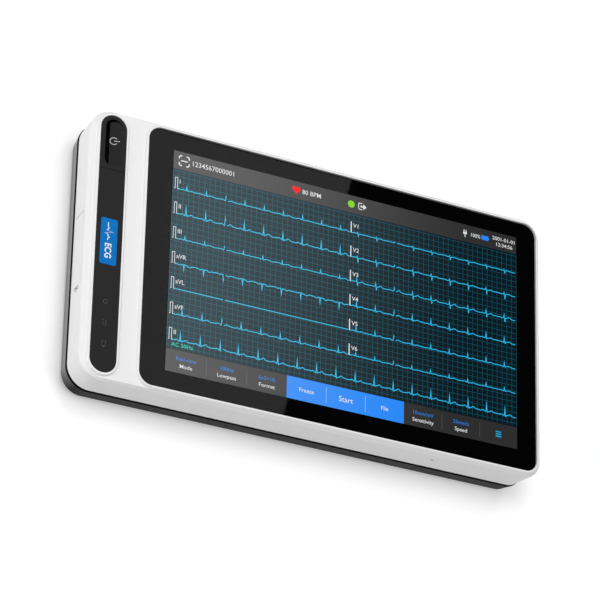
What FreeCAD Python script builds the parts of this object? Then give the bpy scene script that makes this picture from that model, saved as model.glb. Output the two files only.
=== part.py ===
import FreeCAD, Part
import math
import os

os.makedirs("parts", exist_ok=True)
V = FreeCAD.Vector

# Tablet ECG machine lying on its feet, millimetres.  X runs along the long side, from the
# indicator strip on the left to the patient cable port on the right, Y towards the top edge of
# the screen and Z out of the screen.  The origin is on the bench, under the middle of the body.

# ---------------------------------------------------------------- body
body_length = 282.5        # at the crease round the front
body_width = 156.6         # at the same crease
body_height = 34.4         # bench to the raised lips
corner_left = 14.0         # plan radius of the corners beside the strip
corner_draft = 1.0         # how much each corner radius shrinks down the wall
rim = 3.1                  # crease to glass, on three sides
wall = 2.2                 # moulded wall of both housings
wall_depth = 16.6          # white side wall, crease to its lower edge
draft_x = 1.7              # lean of the end walls over that depth
draft_y = 0.7              # lean of the long walls over that depth
crease_drop = 2.26         # glass face to crease
crease_round = 0.7
lip_width = 1.0            # flat top of the raised lips
lip_stand = 0.2            # lips above the glass
lip_round = 0.3
deck_drop = 1.0            # lips to the sunk deck between strip and glass
deck_slope_left = 3.0      # how far the deck falls away to the left crease
ceiling_depth = 3.5        # lips to the underside of the deck
gap_height = 1.6           # dark gap between the housings
base_flare = 0.35          # the rear housing stands out this far past the wall above it
base_draft_x = 2.6         # lean of the rear housing's end walls
base_draft_y = 1.8
base_round = 4.0
foot_stand = 1.2
tongue_wall = 1.0          # upstand of the rear housing inside the front one
tongue_height = 3.4
tongue_gap = 0.15
seal_set_back = 1.2
piece_gap = 0.12           # general assembly clearance round a fitted piece

# ---------------------------------------------------------------- glass and display
valley_width = 13.2        # strip to glass
glass_t = 1.1
glass_radius = 7.6
border_left = 15.1         # printed border, glass edge to picture
border_right = 12.75
border_front = 10.7
border_back = 10.3
border_t = 0.1
tape_t = 0.3
tape_width = 4.0
panel_border = 2.5         # display panel beyond the picture
panel_t = 1.0
backlight_t = 2.8
tray_gap = 0.1
tray_wall = 0.5
tray_lip_drop = 0.1
window_gap = 0.4
chassis_t = 1.2

# ---------------------------------------------------------------- strip and power key
strip_inset = 5.6          # left crease to strip
strip_width = 15.6
strip_end_front = 3.9
strip_end_back = 3.2
strip_t = 1.6
strip_gap = 0.1
key_length = 32.3
key_gap = 0.15
key_cap_t = 0.9
key_stem_inset = 1.6
key_opening_inset = 1.2
key_stem_depth = 4.3
key_hook_reach = 1.0
key_hook_gap = 0.1
key_hook_width = 5.0
key_post_r = 1.5
key_post_gap = 0.03
scoop_side_left = 3.0
scoop_side_right = 2.6
scoop_end_front = 1.8
scoop_end_back = 2.3
scoop_depth = 2.1
scoop_bank = 3.4           # width of the steep bank on the left
badge_length = 26.7
badge_width = 9.8
badge_from_front = 75.0    # strip's front end to the badge's middle
badge_t = 0.25
badge_sink = 0.2
badge_round = 1.2
lamp_from_front = (40.3, 28.5, 16.3)
lamp_pipe_r = 1.5
lamp_pipe_gap = 0.05
lamp_height = 0.7
lamp_clear = 0.2
key_board_drop = 7.2       # glass face to the top of the key board
key_board_t = 1.2
key_board_width = 10.0
key_board_end = 8.0
key_board_post_r = 2.4
key_board_post_y = (-20.0, 34.0)
switch_size = 6.2
switch_body_h = 1.7
plunger_r = 1.6
plunger_gap = 0.05
plunger_rise = 0.7
plunger_length = 1.6

# ---------------------------------------------------------------- port flap on the left wall
flap_length = 42.0
flap_height = 12.4
flap_middle_y = -3.5
flap_drop = 4.3            # glass face to the flap's upper edge
flap_t = 1.5
flap_gap = 0.25            # the leaning hinge shifts the long edges by 0.15 as it opens
flap_radius = 0.6
flap_pocket_depth = 4.9    # crease to the pocket floor
flap_pocket_wall = 1.5
hinge_depth = 0.95
hinge_from_end = 1.4
hinge_end_gap = 0.5
knuckle_r = 0.85
knuckle_short = 0.6        # knuckle ends, short of the flap's long edges
hinge_pin_r = 0.4
hinge_pin_gap = 0.05
hinge_pin_bite = 1.2
notch_r = 3.5
notch_depth = 2.4

# ---------------------------------------------------------------- boards and ports
port_lift = 2.66           # lower edge of the white wall to the boards' top face
board_t = 1.6
board_left_gap = 7.35      # left crease to the main board
board_back_gap = 13.8
main_board_length = 173.9
main_board_front_y = -30.0
ecg_board_length = 48.0
ecg_board_width = 60.0
ecg_board_right_gap = 9.25
standoff_r = 2.75
standoff_bore_r = 1.3
board_screw_r = 1.25
board_screw_head_r = 2.4
board_screw_head_h = 1.0
board_screw_bite = 2.2     # how far each screw reaches past what it clamps
connector_h = 1.2
ribbon_t = 0.3
coil_size = 7.0
coil_h = 2.4
coil_y = (2.0, 16.0)
coil_to_flex = 2.75
port_clear = 0.3
port_set_back = 0.3
jack_from_left = 55.25
jack_size = 9.0
jack_depth = 14.0
jack_bore_r = 2.8
jack_bore_depth = 9.5
jack_pin_r = 1.0
usb_from_left = 79.25
usb_width = 13.2
usb_height = 5.8
usb_depth = 14.0
usb_sheet = 0.4
usb_tongue_t = 1.9
usb_tongue_width = 11.1
lan_from_left = 141.25
lan_width = 16.0
lan_height = 10.2
lan_depth = 21.0
lan_bay_width = 11.9
lan_bay_height = 7.9
lan_bay_depth = 15.0
lan_key_width = 6.2
lan_key_height = 1.2
lan_floor = 0.9
lan_contact_pitch = 1.02
card_from_middle = -10.0
card_width = 13.0
card_height = 1.9
usbc_from_middle = 9.0
usbc_width = 8.94
usbc_height = 3.26
usbc_depth = 7.35
usbc_sheet = 0.3
usbc_tongue_t = 0.7
usbc_tongue_width = 6.7

patient_window_width = 42.0
patient_window_height = 12.6
patient_window_radius = 2.0
patient_recess = 6.75      # crease to the recess floor
patient_floor = 1.5
patient_flange_width = 39.1
patient_flange_height = 12.5
patient_flange_t = 0.8
patient_shell_width = 25.0
patient_shell_height = 8.4
patient_shell_sheet = 0.4
patient_shell_reach = 5.9
patient_shell_radius = 2.2
patient_shell_taper = 10.0  # degrees
patient_body_depth = 10.0
patient_body_height = 9.8
patient_pin_pitch = 2.77
patient_row_pitch = 2.84
patient_pin_r = 0.55
patient_pin_depth = 5.0
patient_nut_spacing = 33.32
patient_nut_flat = 4.8
patient_nut_length = 4.8
patient_nut_bore_r = 1.1
patient_stem_r = 1.4
patient_stem_length = 4.0

# ---------------------------------------------------------------- battery, back and fixings
battery_length = 68.0
battery_width = 108.0
battery_height = 10.2
battery_right_gap = 19.25
battery_wall = 0.8
battery_gap = 0.4
bay_wall = 1.6
bay_roof = 1.2
door_t = 1.8
door_overlap = 3.2
door_end_overlap = 8.0
door_gap = 0.15
door_radius = 4.0
door_screw_y = 40.0
bay_pad = 4.2
bay_pad_height = 3.8
contact_width = 17.8
contact_height = 5.8
contact_gap = 0.1
screw_from_end = (33.25, 105.25)
screw_from_side = 9.3
screw_shank_r = 1.5
screw_head_r = 2.75
screw_head_h = 2.0
screw_seat_depth = 3.8
screw_hole_gap = 0.2
boss_r = 3.6
boss_split_rise = 0.9
boss_depth_from_top = 7.9
insert_r = 2.1
insert_length = 6.0
thread_gap = 0.05
mount_spacing = 75.0
mount_insert_r = 2.8
mount_insert_length = 8.0
mount_bore_r = 1.65
mount_boss_r = 4.5
mount_boss_height = 9.8
foot_r = 5.5
foot_sink = 0.8
foot_from_end = 14.25
foot_from_side = 12.8
post_r = 2.8
chassis_left_post = 2.85
chassis_right_post = 8.05
chassis_side_gap = 16.3    # crease to the long edges of the chassis
chassis_screw_inset = 7.0
chassis_left_reach = 3.15
chassis_right_gap = 4.75
speaker_length = 30.0
speaker_width = 20.0
speaker_height = 5.2
speaker_from_left = 56.25
speaker_from_front = 26.3
speaker_gasket_t = 0.8
grille_hole_r = 0.9
grille_pitch = 4.0
mic_x = 75.15
mic_drop = 7.5
mic_slot_width = 1.9
mic_slot_height = 0.9
mic_capsule_r = 2.0
label_length = 55.0
label_width = 34.0
label_x = -77.0
label_y = 12.0
label_t = 0.15

# ---------------------------------------------------------------- planes worked out from them
x_left = -body_length / 2
x_right = body_length / 2
y_front = -body_width / 2
y_back = body_width / 2
top_z = body_height
glass_z = top_z - lip_stand
crease_z = glass_z - crease_drop
deck_z = top_z - deck_drop
ceiling_z = top_z - ceiling_depth
shell_low_z = crease_z - wall_depth
base_top_z = shell_low_z - gap_height
base_z = foot_stand
floor_z = base_z + wall
corner_right = glass_radius + rim

strip_x0 = x_left + strip_inset
strip_x1 = strip_x0 + strip_width
strip_y0 = y_front + strip_end_front
strip_y1 = y_back - strip_end_back
strip_mid_x = (strip_x0 + strip_x1) / 2
strip_floor_z = glass_z - strip_t
split_y = strip_y1 - key_length

glass_x0 = strip_x1 + valley_width
glass_x1 = x_right - rim
glass_y0 = y_front + rim
glass_y1 = y_back - rim
view_x0 = glass_x0 + border_left
view_x1 = glass_x1 - border_right
view_y0 = glass_y0 + border_front
view_y1 = glass_y1 - border_back
border_z = glass_z - glass_t
tape_z = border_z - border_t
ledge_z = tape_z - tape_t
backlight_top_z = tape_z - panel_t
tray_floor_z = backlight_top_z - backlight_t
chassis_top_z = tray_floor_z - tray_wall
chassis_low_z = chassis_top_z - chassis_t
chassis_half_width = body_width / 2 - chassis_side_gap
chassis_screw_y = chassis_half_width - chassis_screw_inset

board_top_z = shell_low_z + port_lift
board_low_z = board_top_z - board_t
main_x0 = x_left + board_left_gap
main_x1 = main_x0 + main_board_length
main_y0 = main_board_front_y
main_y1 = y_back - board_back_gap
ecg_x1 = x_right - ecg_board_right_gap
ecg_x0 = ecg_x1 - ecg_board_length
key_board_z = glass_z - key_board_drop

boss_split_z = base_top_z + boss_split_rise
boss_top_z = top_z - boss_depth_from_top
screw_y = body_width / 2 - screw_from_side
screw_seat_z = base_z + screw_seat_depth
bosses = [(end * (body_length / 2 - inset), side * screw_y)
          for end in (-1, 1) for inset in screw_from_end for side in (-1, 1)]

battery_x1 = x_right - battery_right_gap
battery_x0 = battery_x1 - battery_length
battery_z = base_z + door_t + 0.1
bay_x0 = battery_x0 - battery_gap
bay_x1 = battery_x1 + battery_gap
bay_y = battery_width / 2 + battery_gap
bay_ceiling_z = battery_z + battery_height + 0.3
door_screw_x = bay_x0 - 4.2
contact_z = base_z + bay_pad_height + contact_gap


# ---------------------------------------------------------------- shapes used all over
def outline(x0, x1, y0, y1, z, r_left, r_right=None):
    """Closed rounded rectangle at height z, with one radius for each end."""
    r_right = r_left if r_right is None else r_right
    corners = [(x0, y0, 1, 1, r_left), (x1, y0, -1, 1, r_right),
               (x1, y1, -1, -1, r_right), (x0, y1, 1, -1, r_left)]
    arcs = []
    for index, (x, y, sx, sy, r) in enumerate(corners):
        along_y = V(x, y + sy * r, z)
        along_x = V(x + sx * r, y, z)
        bulge = r * (1 - math.sqrt(0.5))
        middle = V(x + sx * bulge, y + sy * bulge, z)
        first, last = (along_y, along_x) if index % 2 == 0 else (along_x, along_y)
        arcs.append((first, middle, last))
    edges = []
    for index, (first, middle, last) in enumerate(arcs):
        edges.append(Part.Arc(first, middle, last).toShape())
        following = arcs[(index + 1) % 4][0]
        if last.distanceToPoint(following) > 1e-6:
            edges.append(Part.LineSegment(last, following).toShape())
    return Part.Wire(edges)


def slab(x0, x1, y0, y1, z0, z1, r=0.0):
    """Upright block, with rounded corners when r is given."""
    if r == 0.0:
        return Part.makeBox(x1 - x0, y1 - y0, z1 - z0, V(x0, y0, z0))
    return Part.Face(outline(x0, x1, y0, y1, z0, r)).extrude(V(0, 0, z1 - z0))


def ring(outer, inner, z0, z1):
    """Flat frame between two rounded rectangles, each given as x0, x1, y0, y1, r."""
    return slab(*outer[:4], z0, z1, outer[4]).cut(slab(*inner[:4], z0, z1, inner[4]))


def grown(box, by, r_by=None):
    """The rounded rectangle x0, x1, y0, y1, r made larger all round."""
    x0, x1, y0, y1, r = box
    return (x0 - by, x1 + by, y0 - by, y1 + by, r + (by if r_by is None else r_by))


def along_x(y0, y1, z0, z1, x0, x1, r=0.0):
    """Block whose rounded section lies in the YZ plane."""
    return slab(y0, y1, z0, z1, x0, x1, r).rotate(V(0, 0, 0), V(1, 1, 1), 120)


def along_y(x0, x1, z0, z1, y0, y1, r=0.0):
    """Block whose rounded section lies in the XZ plane."""
    return slab(x0, x1, z0, z1, -y1, -y0, r).rotate(V(0, 0, 0), V(1, 0, 0), 90)


def rod(x, y, z0, z1, r):
    return Part.makeCylinder(r, z1 - z0, V(x, y, z0))


def rod_x(y, z, x0, x1, r):
    return Part.makeCylinder(r, x1 - x0, V(x0, y, z), V(1, 0, 0))


def rod_y(x, z, y0, y1, r):
    return Part.makeCylinder(r, y1 - y0, V(x, y0, z), V(0, 1, 0))


def hexagon(y, z, x0, x1, flat):
    """Hexagonal bar along X."""
    r = flat / math.sqrt(3)
    corners = [V(x0, y + r * math.cos(math.radians(60 * k)), z + r * math.sin(math.radians(60 * k)))
               for k in range(7)]
    return Part.Face(Part.makePolygon(corners)).extrude(V(x1 - x0, 0, 0))


def fused(shapes):
    return shapes[0].multiFuse(shapes[1:]).removeSplitter() if len(shapes) > 1 else shapes[0]


def group(shapes):
    return Part.makeCompound(shapes)


def edges_at(shape, z):
    """Edges that lie wholly at height z."""
    return [edge for edge in shape.Edges
            if abs(edge.BoundBox.ZMin - z) < 1e-4 and abs(edge.BoundBox.ZMax - z) < 1e-4]


def save(node, shape):
    solids = shape.Solids
    whole = solids[0] if len(solids) == 1 else group(solids)
    if not whole.isValid() or min(solid.Volume for solid in solids) <= 0:
        raise ValueError(node + " is not a valid solid")
    whole.exportStep(os.path.join("parts", node + ".step"))
    print("%-22s %3d solid(s) %10.2f mm3" % (node, len(solids), whole.Volume))


# ---------------------------------------------------------------- body surfaces
def body_outline(z, left, right, side, shrink):
    """Outline of the body drawn in by left, right and side, with smaller corner radii."""
    return outline(x_left + left, x_right - right, y_front + side, y_back - side, z,
                   corner_left - shrink, corner_right - shrink)


def wall_outline(z, inward=0.0):
    """Outline of the drafted white wall at height z, or of a surface inward of it."""
    share = (crease_z - z) / wall_depth
    return body_outline(z, share * draft_x + inward, share * draft_x + inward,
                        share * draft_y + inward, share * corner_draft + inward)


def base_outline(z, inward=0.0):
    """Outline of the drafted rear housing at height z, or of a surface inward of it."""
    share = (base_top_z - z) / (base_top_z - base_z)
    end = draft_x + share * base_draft_x - base_flare + inward
    side = draft_y + share * base_draft_y - base_flare + inward
    return body_outline(z, end, end, side, corner_draft + share * base_draft_y - base_flare + inward)


def end_wall_x(z):
    """How far the white end walls stand from the middle at height z."""
    return body_length / 2 - (crease_z - z) / wall_depth * draft_x


bevel_slope = (rim - lip_width) / (top_z - crease_z)
deck_inset = bevel_slope * (deck_z - crease_z)
lip_flare = rim - deck_inset - lip_width
glass_box = (glass_x0, glass_x1, glass_y0, glass_y1, glass_radius)
strip_box = (strip_x0, strip_x1, strip_y0, strip_y1, strip_width / 2)


def lip(box):
    """Raised lip with a rounded top edge, standing on the deck round a fitted piece."""
    low = grown(box, lip_width + lip_flare)
    high = grown(box, lip_width)
    solid = Part.makeLoft([outline(*low[:4], deck_z, low[4]), outline(*high[:4], top_z, high[4])],
                          True, True)
    return solid.makeFillet(lip_round, edges_at(solid, top_z))


def front_skin():
    """Outer surface of the front housing as one solid: drafted walls, bevel, deck and lips."""
    block = Part.makeLoft([wall_outline(shell_low_z), wall_outline(crease_z),
                           body_outline(deck_z, deck_slope_left, deck_inset, deck_inset, deck_inset)],
                          True, True)
    block = block.makeFillet(crease_round, edges_at(block, crease_z))
    return fused([block, lip(glass_box), lip(strip_box)])


def front_hollow():
    """Space inside the front housing, under the deck."""
    return Part.makeLoft([wall_outline(shell_low_z, wall), wall_outline(ceiling_z, wall)], True, True)


view_box = (view_x0, view_x1, view_y0, view_y1)
panel_box = (view_x0 - panel_border, view_x1 + panel_border, view_y0 - panel_border,
             view_y1 + panel_border, 1.0)
tray_box = grown(panel_box, tray_gap + tray_wall)
window_box = grown(tray_box, window_gap)

flap_z1 = glass_z - flap_drop
flap_z0 = flap_z1 - flap_height
flap_y0 = flap_middle_y - flap_length / 2
flap_y1 = flap_middle_y + flap_length / 2
flap_floor_x = x_left + flap_pocket_depth
hinge_y = flap_y1 - hinge_from_end
flap_middle_z = (flap_z0 + flap_z1) / 2
wall_lean = math.degrees(math.atan2(draft_x, wall_depth))
usbc_y = flap_middle_y + usbc_from_middle
card_y = flap_middle_y + card_from_middle

patient_z = board_top_z + patient_flange_height / 2
patient_floor_x = x_right - patient_recess
jack_x = x_left + jack_from_left
usb_x = x_left + usb_from_left
lan_x = x_left + lan_from_left
port_face_y = y_back - draft_y - port_set_back


def hinge_rod(r, z0, z1):
    """Rod on the flap's hinge line, which leans with the end wall."""
    x = -end_wall_x(flap_middle_z) + hinge_depth / math.cos(math.radians(wall_lean))
    upright = rod(x, hinge_y, z0, z1, r)
    return upright.rotate(V(x, hinge_y, flap_middle_z), V(0, 1, 0), -wall_lean)


def d_section(width, height, radius, x0, x1):
    """D-shaped bar along X, wider at its top, centred on the patient port."""
    lean = height * math.tan(math.radians(patient_shell_taper))
    corners = [(-width / 2 + lean, -height / 2), (width / 2 - lean, -height / 2),
               (width / 2, height / 2), (-width / 2, height / 2)]
    points = [V(x0, y, patient_z + z) for y, z in corners]
    bar = Part.Face(Part.makePolygon(points + points[:1])).extrude(V(x1 - x0, 0, 0))
    long_edges = [edge for edge in bar.Edges if edge.BoundBox.XLength > abs(x1 - x0) - 1e-4]
    return bar.makeFillet(radius, long_edges)


def ports_in_back_wall(clear):
    """The bodies of the ports in the back wall, grown by a clearance, running out past it."""
    reach = y_back + 1
    jack = along_y(jack_x - jack_size / 2 - clear, jack_x + jack_size / 2 + clear,
                   board_top_z - clear, board_top_z + jack_size + clear, main_y1, reach, 1.0)
    usb = along_y(usb_x - usb_width / 2 - clear, usb_x + usb_width / 2 + clear,
                  board_top_z - clear, board_top_z + usb_height + clear, main_y1, reach, 0.6)
    lan = along_y(lan_x - lan_width / 2 - clear, lan_x + lan_width / 2 + clear,
                  board_top_z - clear, board_top_z + lan_height + clear, main_y1, reach, 0.6)
    return [jack, usb, lan]


def front_housing():
    """White front shell with its lips, pockets, port openings, bosses and posts."""
    hollow = front_hollow()
    shell = front_skin().cut(hollow)

    flap_tub = slab(x_left + wall / 2, flap_floor_x + flap_pocket_wall,
                    flap_y0 - flap_pocket_wall, flap_y1 + flap_pocket_wall,
                    flap_z0 - flap_pocket_wall, ceiling_z)
    patient_y = patient_window_width / 2
    patient_tub = slab(patient_floor_x - patient_floor, x_right - wall / 2,
                       -patient_y - patient_floor, patient_y + patient_floor,
                       patient_z - patient_window_height / 2 - patient_floor, ceiling_z)
    additions = [flap_tub.common(hollow), patient_tub.common(hollow)]
    for x, y in bosses:
        side = 1 if y > 0 else -1
        additions.append(rod(x, y, boss_split_z, boss_top_z, boss_r))
        rib = slab(x - 0.8, x + 0.8, min(y, side * body_width / 2), max(y, side * body_width / 2),
                   base_top_z + tongue_height + 0.5, boss_top_z)
        additions.append(rib.common(hollow))
    for x in (glass_x0 + chassis_left_post, x_right - chassis_right_post):
        for side in (-1, 1):
            additions.append(rod(x, side * chassis_screw_y, chassis_top_z, ceiling_z, post_r))
    for y in key_board_post_y:
        additions.append(rod(strip_mid_x, y, key_board_z, ceiling_z, key_board_post_r))
    shell = shell.multiFuse(additions)

    pocket = grown(glass_box, piece_gap)
    cuts = [slab(*pocket[:4], ledge_z, top_z + 1, pocket[4]),
            slab(*window_box[:4], ceiling_z - 1, ledge_z + 1, window_box[4]),
            slab(*strip_box[:4], strip_floor_z, top_z + 1, strip_box[4] - 1e-3)]
    inset = key_opening_inset
    cuts.append(slab(strip_x0 + inset, strip_x1 - inset, split_y + inset, strip_y1 - inset,
                     ceiling_z - 1, top_z, strip_width / 2 - inset - 1e-3))
    for along in lamp_from_front:
        cuts.append(rod(strip_mid_x, strip_y0 + along, ceiling_z - 1, top_z,
                        lamp_pipe_r + lamp_pipe_gap))
    for x, y in bosses:
        cuts.append(rod(x, y, boss_split_z, boss_split_z + insert_length, insert_r))
        cuts.append(rod(x, y, boss_split_z, boss_top_z - 1.5, screw_shank_r + screw_hole_gap))
    for x in (glass_x0 + chassis_left_post, x_right - chassis_right_post):
        for side in (-1, 1):
            cuts.append(rod(x, side * chassis_screw_y, chassis_top_z, ceiling_z + 0.6, board_screw_r))
    for y in key_board_post_y:
        cuts.append(rod(strip_mid_x, y, key_board_z, ceiling_z, board_screw_r))

    cuts.append(along_x(flap_y0, flap_y1, flap_z0, flap_z1, x_left - 1, flap_floor_x, flap_radius))
    cuts.append(hinge_rod(hinge_pin_r, flap_z0 - hinge_pin_bite, flap_z1 + hinge_pin_bite))
    ball_x = -end_wall_x(flap_middle_z) - notch_r + notch_depth
    cuts.append(Part.makeSphere(notch_r, V(ball_x, flap_y0, flap_middle_z)))
    cuts.append(along_x(usbc_y - usbc_width / 2 - port_clear, usbc_y + usbc_width / 2 + port_clear,
                        board_top_z - port_clear, board_top_z + usbc_height + port_clear,
                        x_left, flap_floor_x + 3, usbc_height / 2))
    cuts.append(along_x(card_y - card_width / 2 - port_clear, card_y + card_width / 2 + port_clear,
                        board_top_z - port_clear, board_top_z + card_height + port_clear,
                        x_left, flap_floor_x + 3))

    cuts.append(along_x(-patient_y, patient_y, patient_z - patient_window_height / 2,
                        patient_z + patient_window_height / 2, patient_floor_x, x_right + 1,
                        patient_window_radius))
    cuts.append(d_section(patient_shell_width + 2 * port_clear, patient_shell_height + 2 * port_clear,
                          patient_shell_radius + port_clear, patient_floor_x - 5, x_right))
    for side in (-1, 1):
        cuts.append(rod_x(side * patient_nut_spacing / 2, patient_z, patient_floor_x - 5, x_right,
                          patient_stem_r + 0.1))
    cuts += ports_in_back_wall(port_clear)
    cuts.append(along_y(mic_x - mic_slot_width / 2, mic_x + mic_slot_width / 2,
                        glass_z - mic_drop - mic_slot_height / 2, glass_z - mic_drop + mic_slot_height / 2,
                        y_front - 1, y_front + wall + 1, mic_slot_height / 2 - 1e-3))
    return shell.cut(cuts)


def rear_housing():
    """Black rear shell with its upstand, battery bay, bosses and recesses."""
    skin = Part.makeLoft([base_outline(base_z), base_outline(base_top_z)], True, True)
    skin = skin.makeFillet(base_round, edges_at(skin, base_z))
    shell = skin.cut(Part.makeLoft([base_outline(floor_z, wall), base_outline(base_top_z, wall)],
                                   True, True))
    seat = base_top_z - 1.2
    inward = wall + tongue_gap
    upstand = Part.Face(wall_outline(shell_low_z, inward)).extrude(V(0, 0, tongue_height))
    upstand = upstand.cut(Part.Face(wall_outline(shell_low_z, inward + tongue_wall)).extrude(
        V(0, 0, tongue_height)))
    upstand.translate(V(0, 0, base_top_z - shell_low_z))
    shelf = Part.Face(wall_outline(shell_low_z, 1.0)).extrude(V(0, 0, 1.2))
    shelf = shelf.cut(Part.Face(wall_outline(shell_low_z, inward + tongue_wall)).extrude(V(0, 0, 1.2)))
    shelf.translate(V(0, 0, seat - shell_low_z))
    for y0, y1, z0, x0, x1 in (
            (flap_y0, flap_y1, flap_z0 - flap_pocket_wall, x_left, x_left + 12),
            (-patient_window_width / 2, patient_window_width / 2,
             patient_z - patient_window_height / 2 - patient_floor, x_right - 12, x_right)):
        upstand = upstand.cut(slab(x0, x1, y0 - 2.5, y1 + 2.5, z0 - 0.4, z0 + 10))

    additions = [upstand, shelf]
    for x, y in bosses:
        additions.append(rod(x, y, base_z, boss_split_z, boss_r + 0.6))
    half = mount_spacing / 2
    mounts = [(sx * half, sy * half) for sx in (-1, 1) for sy in (-1, 1)]
    for x, y in mounts:
        additions.append(rod(x, y, base_z, base_z + mount_boss_height, mount_boss_r))
    for side in (-1, 1):
        additions.append(rod(door_screw_x, side * door_screw_y, base_z, base_z + 8.0, 3.2))
    bay = (bay_x0, bay_x1, -bay_y, bay_y, 1.5)
    walls = grown(bay, bay_wall)
    pad = grown(bay, bay_pad)
    additions.append(slab(*walls[:4], base_z, bay_ceiling_z + bay_roof, walls[4]))
    additions.append(slab(pad[0], pad[1], pad[2], pad[3], base_z, base_z + bay_pad_height, pad[4]))
    shell = shell.multiFuse(additions)

    cuts = [slab(*bay[:4], base_z - 1, bay_ceiling_z, bay[4]), door_recess(0.0)]
    slot_y = contact_width / 2 + contact_gap
    cuts.append(slab(bay_x0 - bay_wall - 1, bay_x0 + 1, -slot_y, slot_y, contact_z - contact_gap,
                     contact_z + contact_height + contact_gap))
    for x, y in bosses:
        cuts.append(rod(x, y, base_z - 1, screw_seat_z, screw_head_r + 0.25))
        cuts.append(rod(x, y, base_z - 1, boss_split_z, screw_shank_r + screw_hole_gap))
    for x, y in mounts:
        cuts.append(rod(x, y, base_z - 1, base_z + mount_insert_length, mount_insert_r))
    for side in (-1, 1):
        cuts.append(rod(door_screw_x, side * door_screw_y, base_z - 1, base_z + 7.0, 1.25))
    for x, y in foot_places():
        cuts.append(rod(x, y, base_z - 1, base_z + foot_sink, foot_r))
    cuts.append(slab(*label_box(0.0), base_z - 1, base_z + label_t, 2.0))
    for x, y in grille_places():
        cuts.append(rod(x, y, base_z - 1, floor_z + 1, grille_hole_r))
    return shell.cut(cuts)


def door_recess(gap):
    """Recess in the back that the battery door fills, drawn in by a gap."""
    return slab(bay_x0 - door_end_overlap + gap, bay_x1 + door_overlap - gap,
                -bay_y - door_overlap + gap, bay_y + door_overlap - gap,
                base_z - (1 if gap == 0.0 else 0), base_z + door_t, door_radius - gap)


def foot_places():
    x = body_length / 2 - foot_from_end
    y = body_width / 2 - foot_from_side
    return [(sx * x, sy * y) for sx in (-1, 1) for sy in (-1, 1)]


def label_box(gap):
    return (label_x - label_length / 2 + gap, label_x + label_length / 2 - gap,
            label_y - label_width / 2 + gap, label_y + label_width / 2 - gap)


speaker_x = x_left + speaker_from_left
speaker_y = y_front + speaker_from_front


def grille_places():
    return [(speaker_x + column * grille_pitch, speaker_y + row * grille_pitch)
            for column in range(-3, 4) for row in range(-1, 2)]


def parting_seal():
    """Soft dark ring that fills the gap between the housings, set back from the surface."""
    thick = gap_height
    seal = Part.Face(wall_outline(shell_low_z, seal_set_back)).extrude(V(0, 0, thick))
    seal = seal.cut(Part.Face(wall_outline(shell_low_z, wall + tongue_gap)).extrude(V(0, 0, thick)))
    seal.translate(V(0, 0, -gap_height))
    return seal


# ---------------------------------------------------------------- strip, key and lamps
def strip_panel():
    """Black strip below the power key, with a shallow seat for the badge."""
    gap = strip_gap
    plate = slab(strip_x0 + gap, strip_x1 - gap, strip_y0 + gap, strip_y1 - gap,
                 strip_floor_z, glass_z, strip_width / 2 - gap - 1e-3)
    plate = plate.cut(slab(strip_x0 - 1, strip_x1 + 1, split_y - gap, strip_y1 + 1,
                           strip_floor_z - 1, glass_z + 1))
    return plate.cut(slab(*badge_box(0.05), glass_z - badge_sink, glass_z + 1, badge_round))


def badge_box(grow):
    middle_y = strip_y0 + badge_from_front
    return (strip_mid_x - badge_width / 2 - grow, strip_mid_x + badge_width / 2 + grow,
            middle_y - badge_length / 2 - grow, middle_y + badge_length / 2 + grow)


def finger_scoop():
    """Hollow with a steep bank on the left and a long ramp that runs out flush on the right."""
    x0 = strip_x0 + scoop_side_left
    x1 = strip_x1 - scoop_side_right
    y0 = split_y + scoop_end_front
    y1 = strip_y1 - scoop_end_back
    low_z = glass_z - scoop_depth
    rim = slab(x0, x1, y0, y1, low_z - 1, glass_z + 1, (x1 - x0) / 2 - 1e-3)
    rise = 1 / scoop_depth
    section = Part.Face(Part.makePolygon([
        V(x0 + scoop_bank, y0, low_z), V(x1 + rise * (x1 - x0 - scoop_bank), y0, glass_z + 1),
        V(x0 - rise * scoop_bank, y0, glass_z + 1), V(x0 + scoop_bank, y0, low_z)]))
    return rim.common(section.extrude(V(0, y1 - y0, 0)))


def power_key():
    """Sliding key with a scoop for the finger, a stem through the housing and two hooks under it."""
    gap = key_gap
    cap_z = glass_z - key_cap_t
    stem_z = glass_z - key_stem_depth
    cap = slab(strip_x0 + gap, strip_x1 - gap, strip_y0, strip_y1 - gap, cap_z, glass_z,
               strip_width / 2 - gap - 1e-3)
    cap = cap.cut(slab(strip_x0 - 1, strip_x1 + 1, strip_y0 - 1, split_y + gap, cap_z - 1, glass_z + 1))
    inset = key_stem_inset
    stem = slab(strip_x0 + inset, strip_x1 - inset, split_y + inset, strip_y1 - inset, stem_z, cap_z,
                strip_width / 2 - inset - 1e-3)
    hook_z1 = ceiling_z - key_hook_gap
    hooks = slab(strip_mid_x - key_hook_width / 2, strip_mid_x + key_hook_width / 2,
                 split_y + key_opening_inset - key_hook_reach,
                 strip_y1 - key_opening_inset + key_hook_reach, stem_z, hook_z1)
    key = fused([cap, stem, hooks.cut(slab(strip_x0, strip_x1, split_y + inset, strip_y1 - inset,
                                           stem_z - 1, hook_z1 + 1))])

    key = key.cut(finger_scoop())
    x, y = switch_place()
    return fused([key, rod(x, y, plunger_top_z() + key_post_gap, stem_z, key_post_r)])


def switch_place():
    return strip_mid_x, (split_y + scoop_end_front + strip_y1 - scoop_end_back) / 2


def plunger_top_z():
    return key_board_z + switch_body_h + plunger_rise


def power_switch():
    x, y = switch_place()
    half = switch_size / 2
    body = slab(x - half, x + half, y - half, y + half, key_board_z, key_board_z + switch_body_h, 0.4)
    depth = plunger_top_z() - plunger_length - 0.6
    return body.cut(rod(x, y, depth, key_board_z + switch_body_h + 1, plunger_r + plunger_gap))


def switch_plunger():
    x, y = switch_place()
    return rod(x, y, plunger_top_z() - plunger_length, plunger_top_z(), plunger_r)


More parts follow.
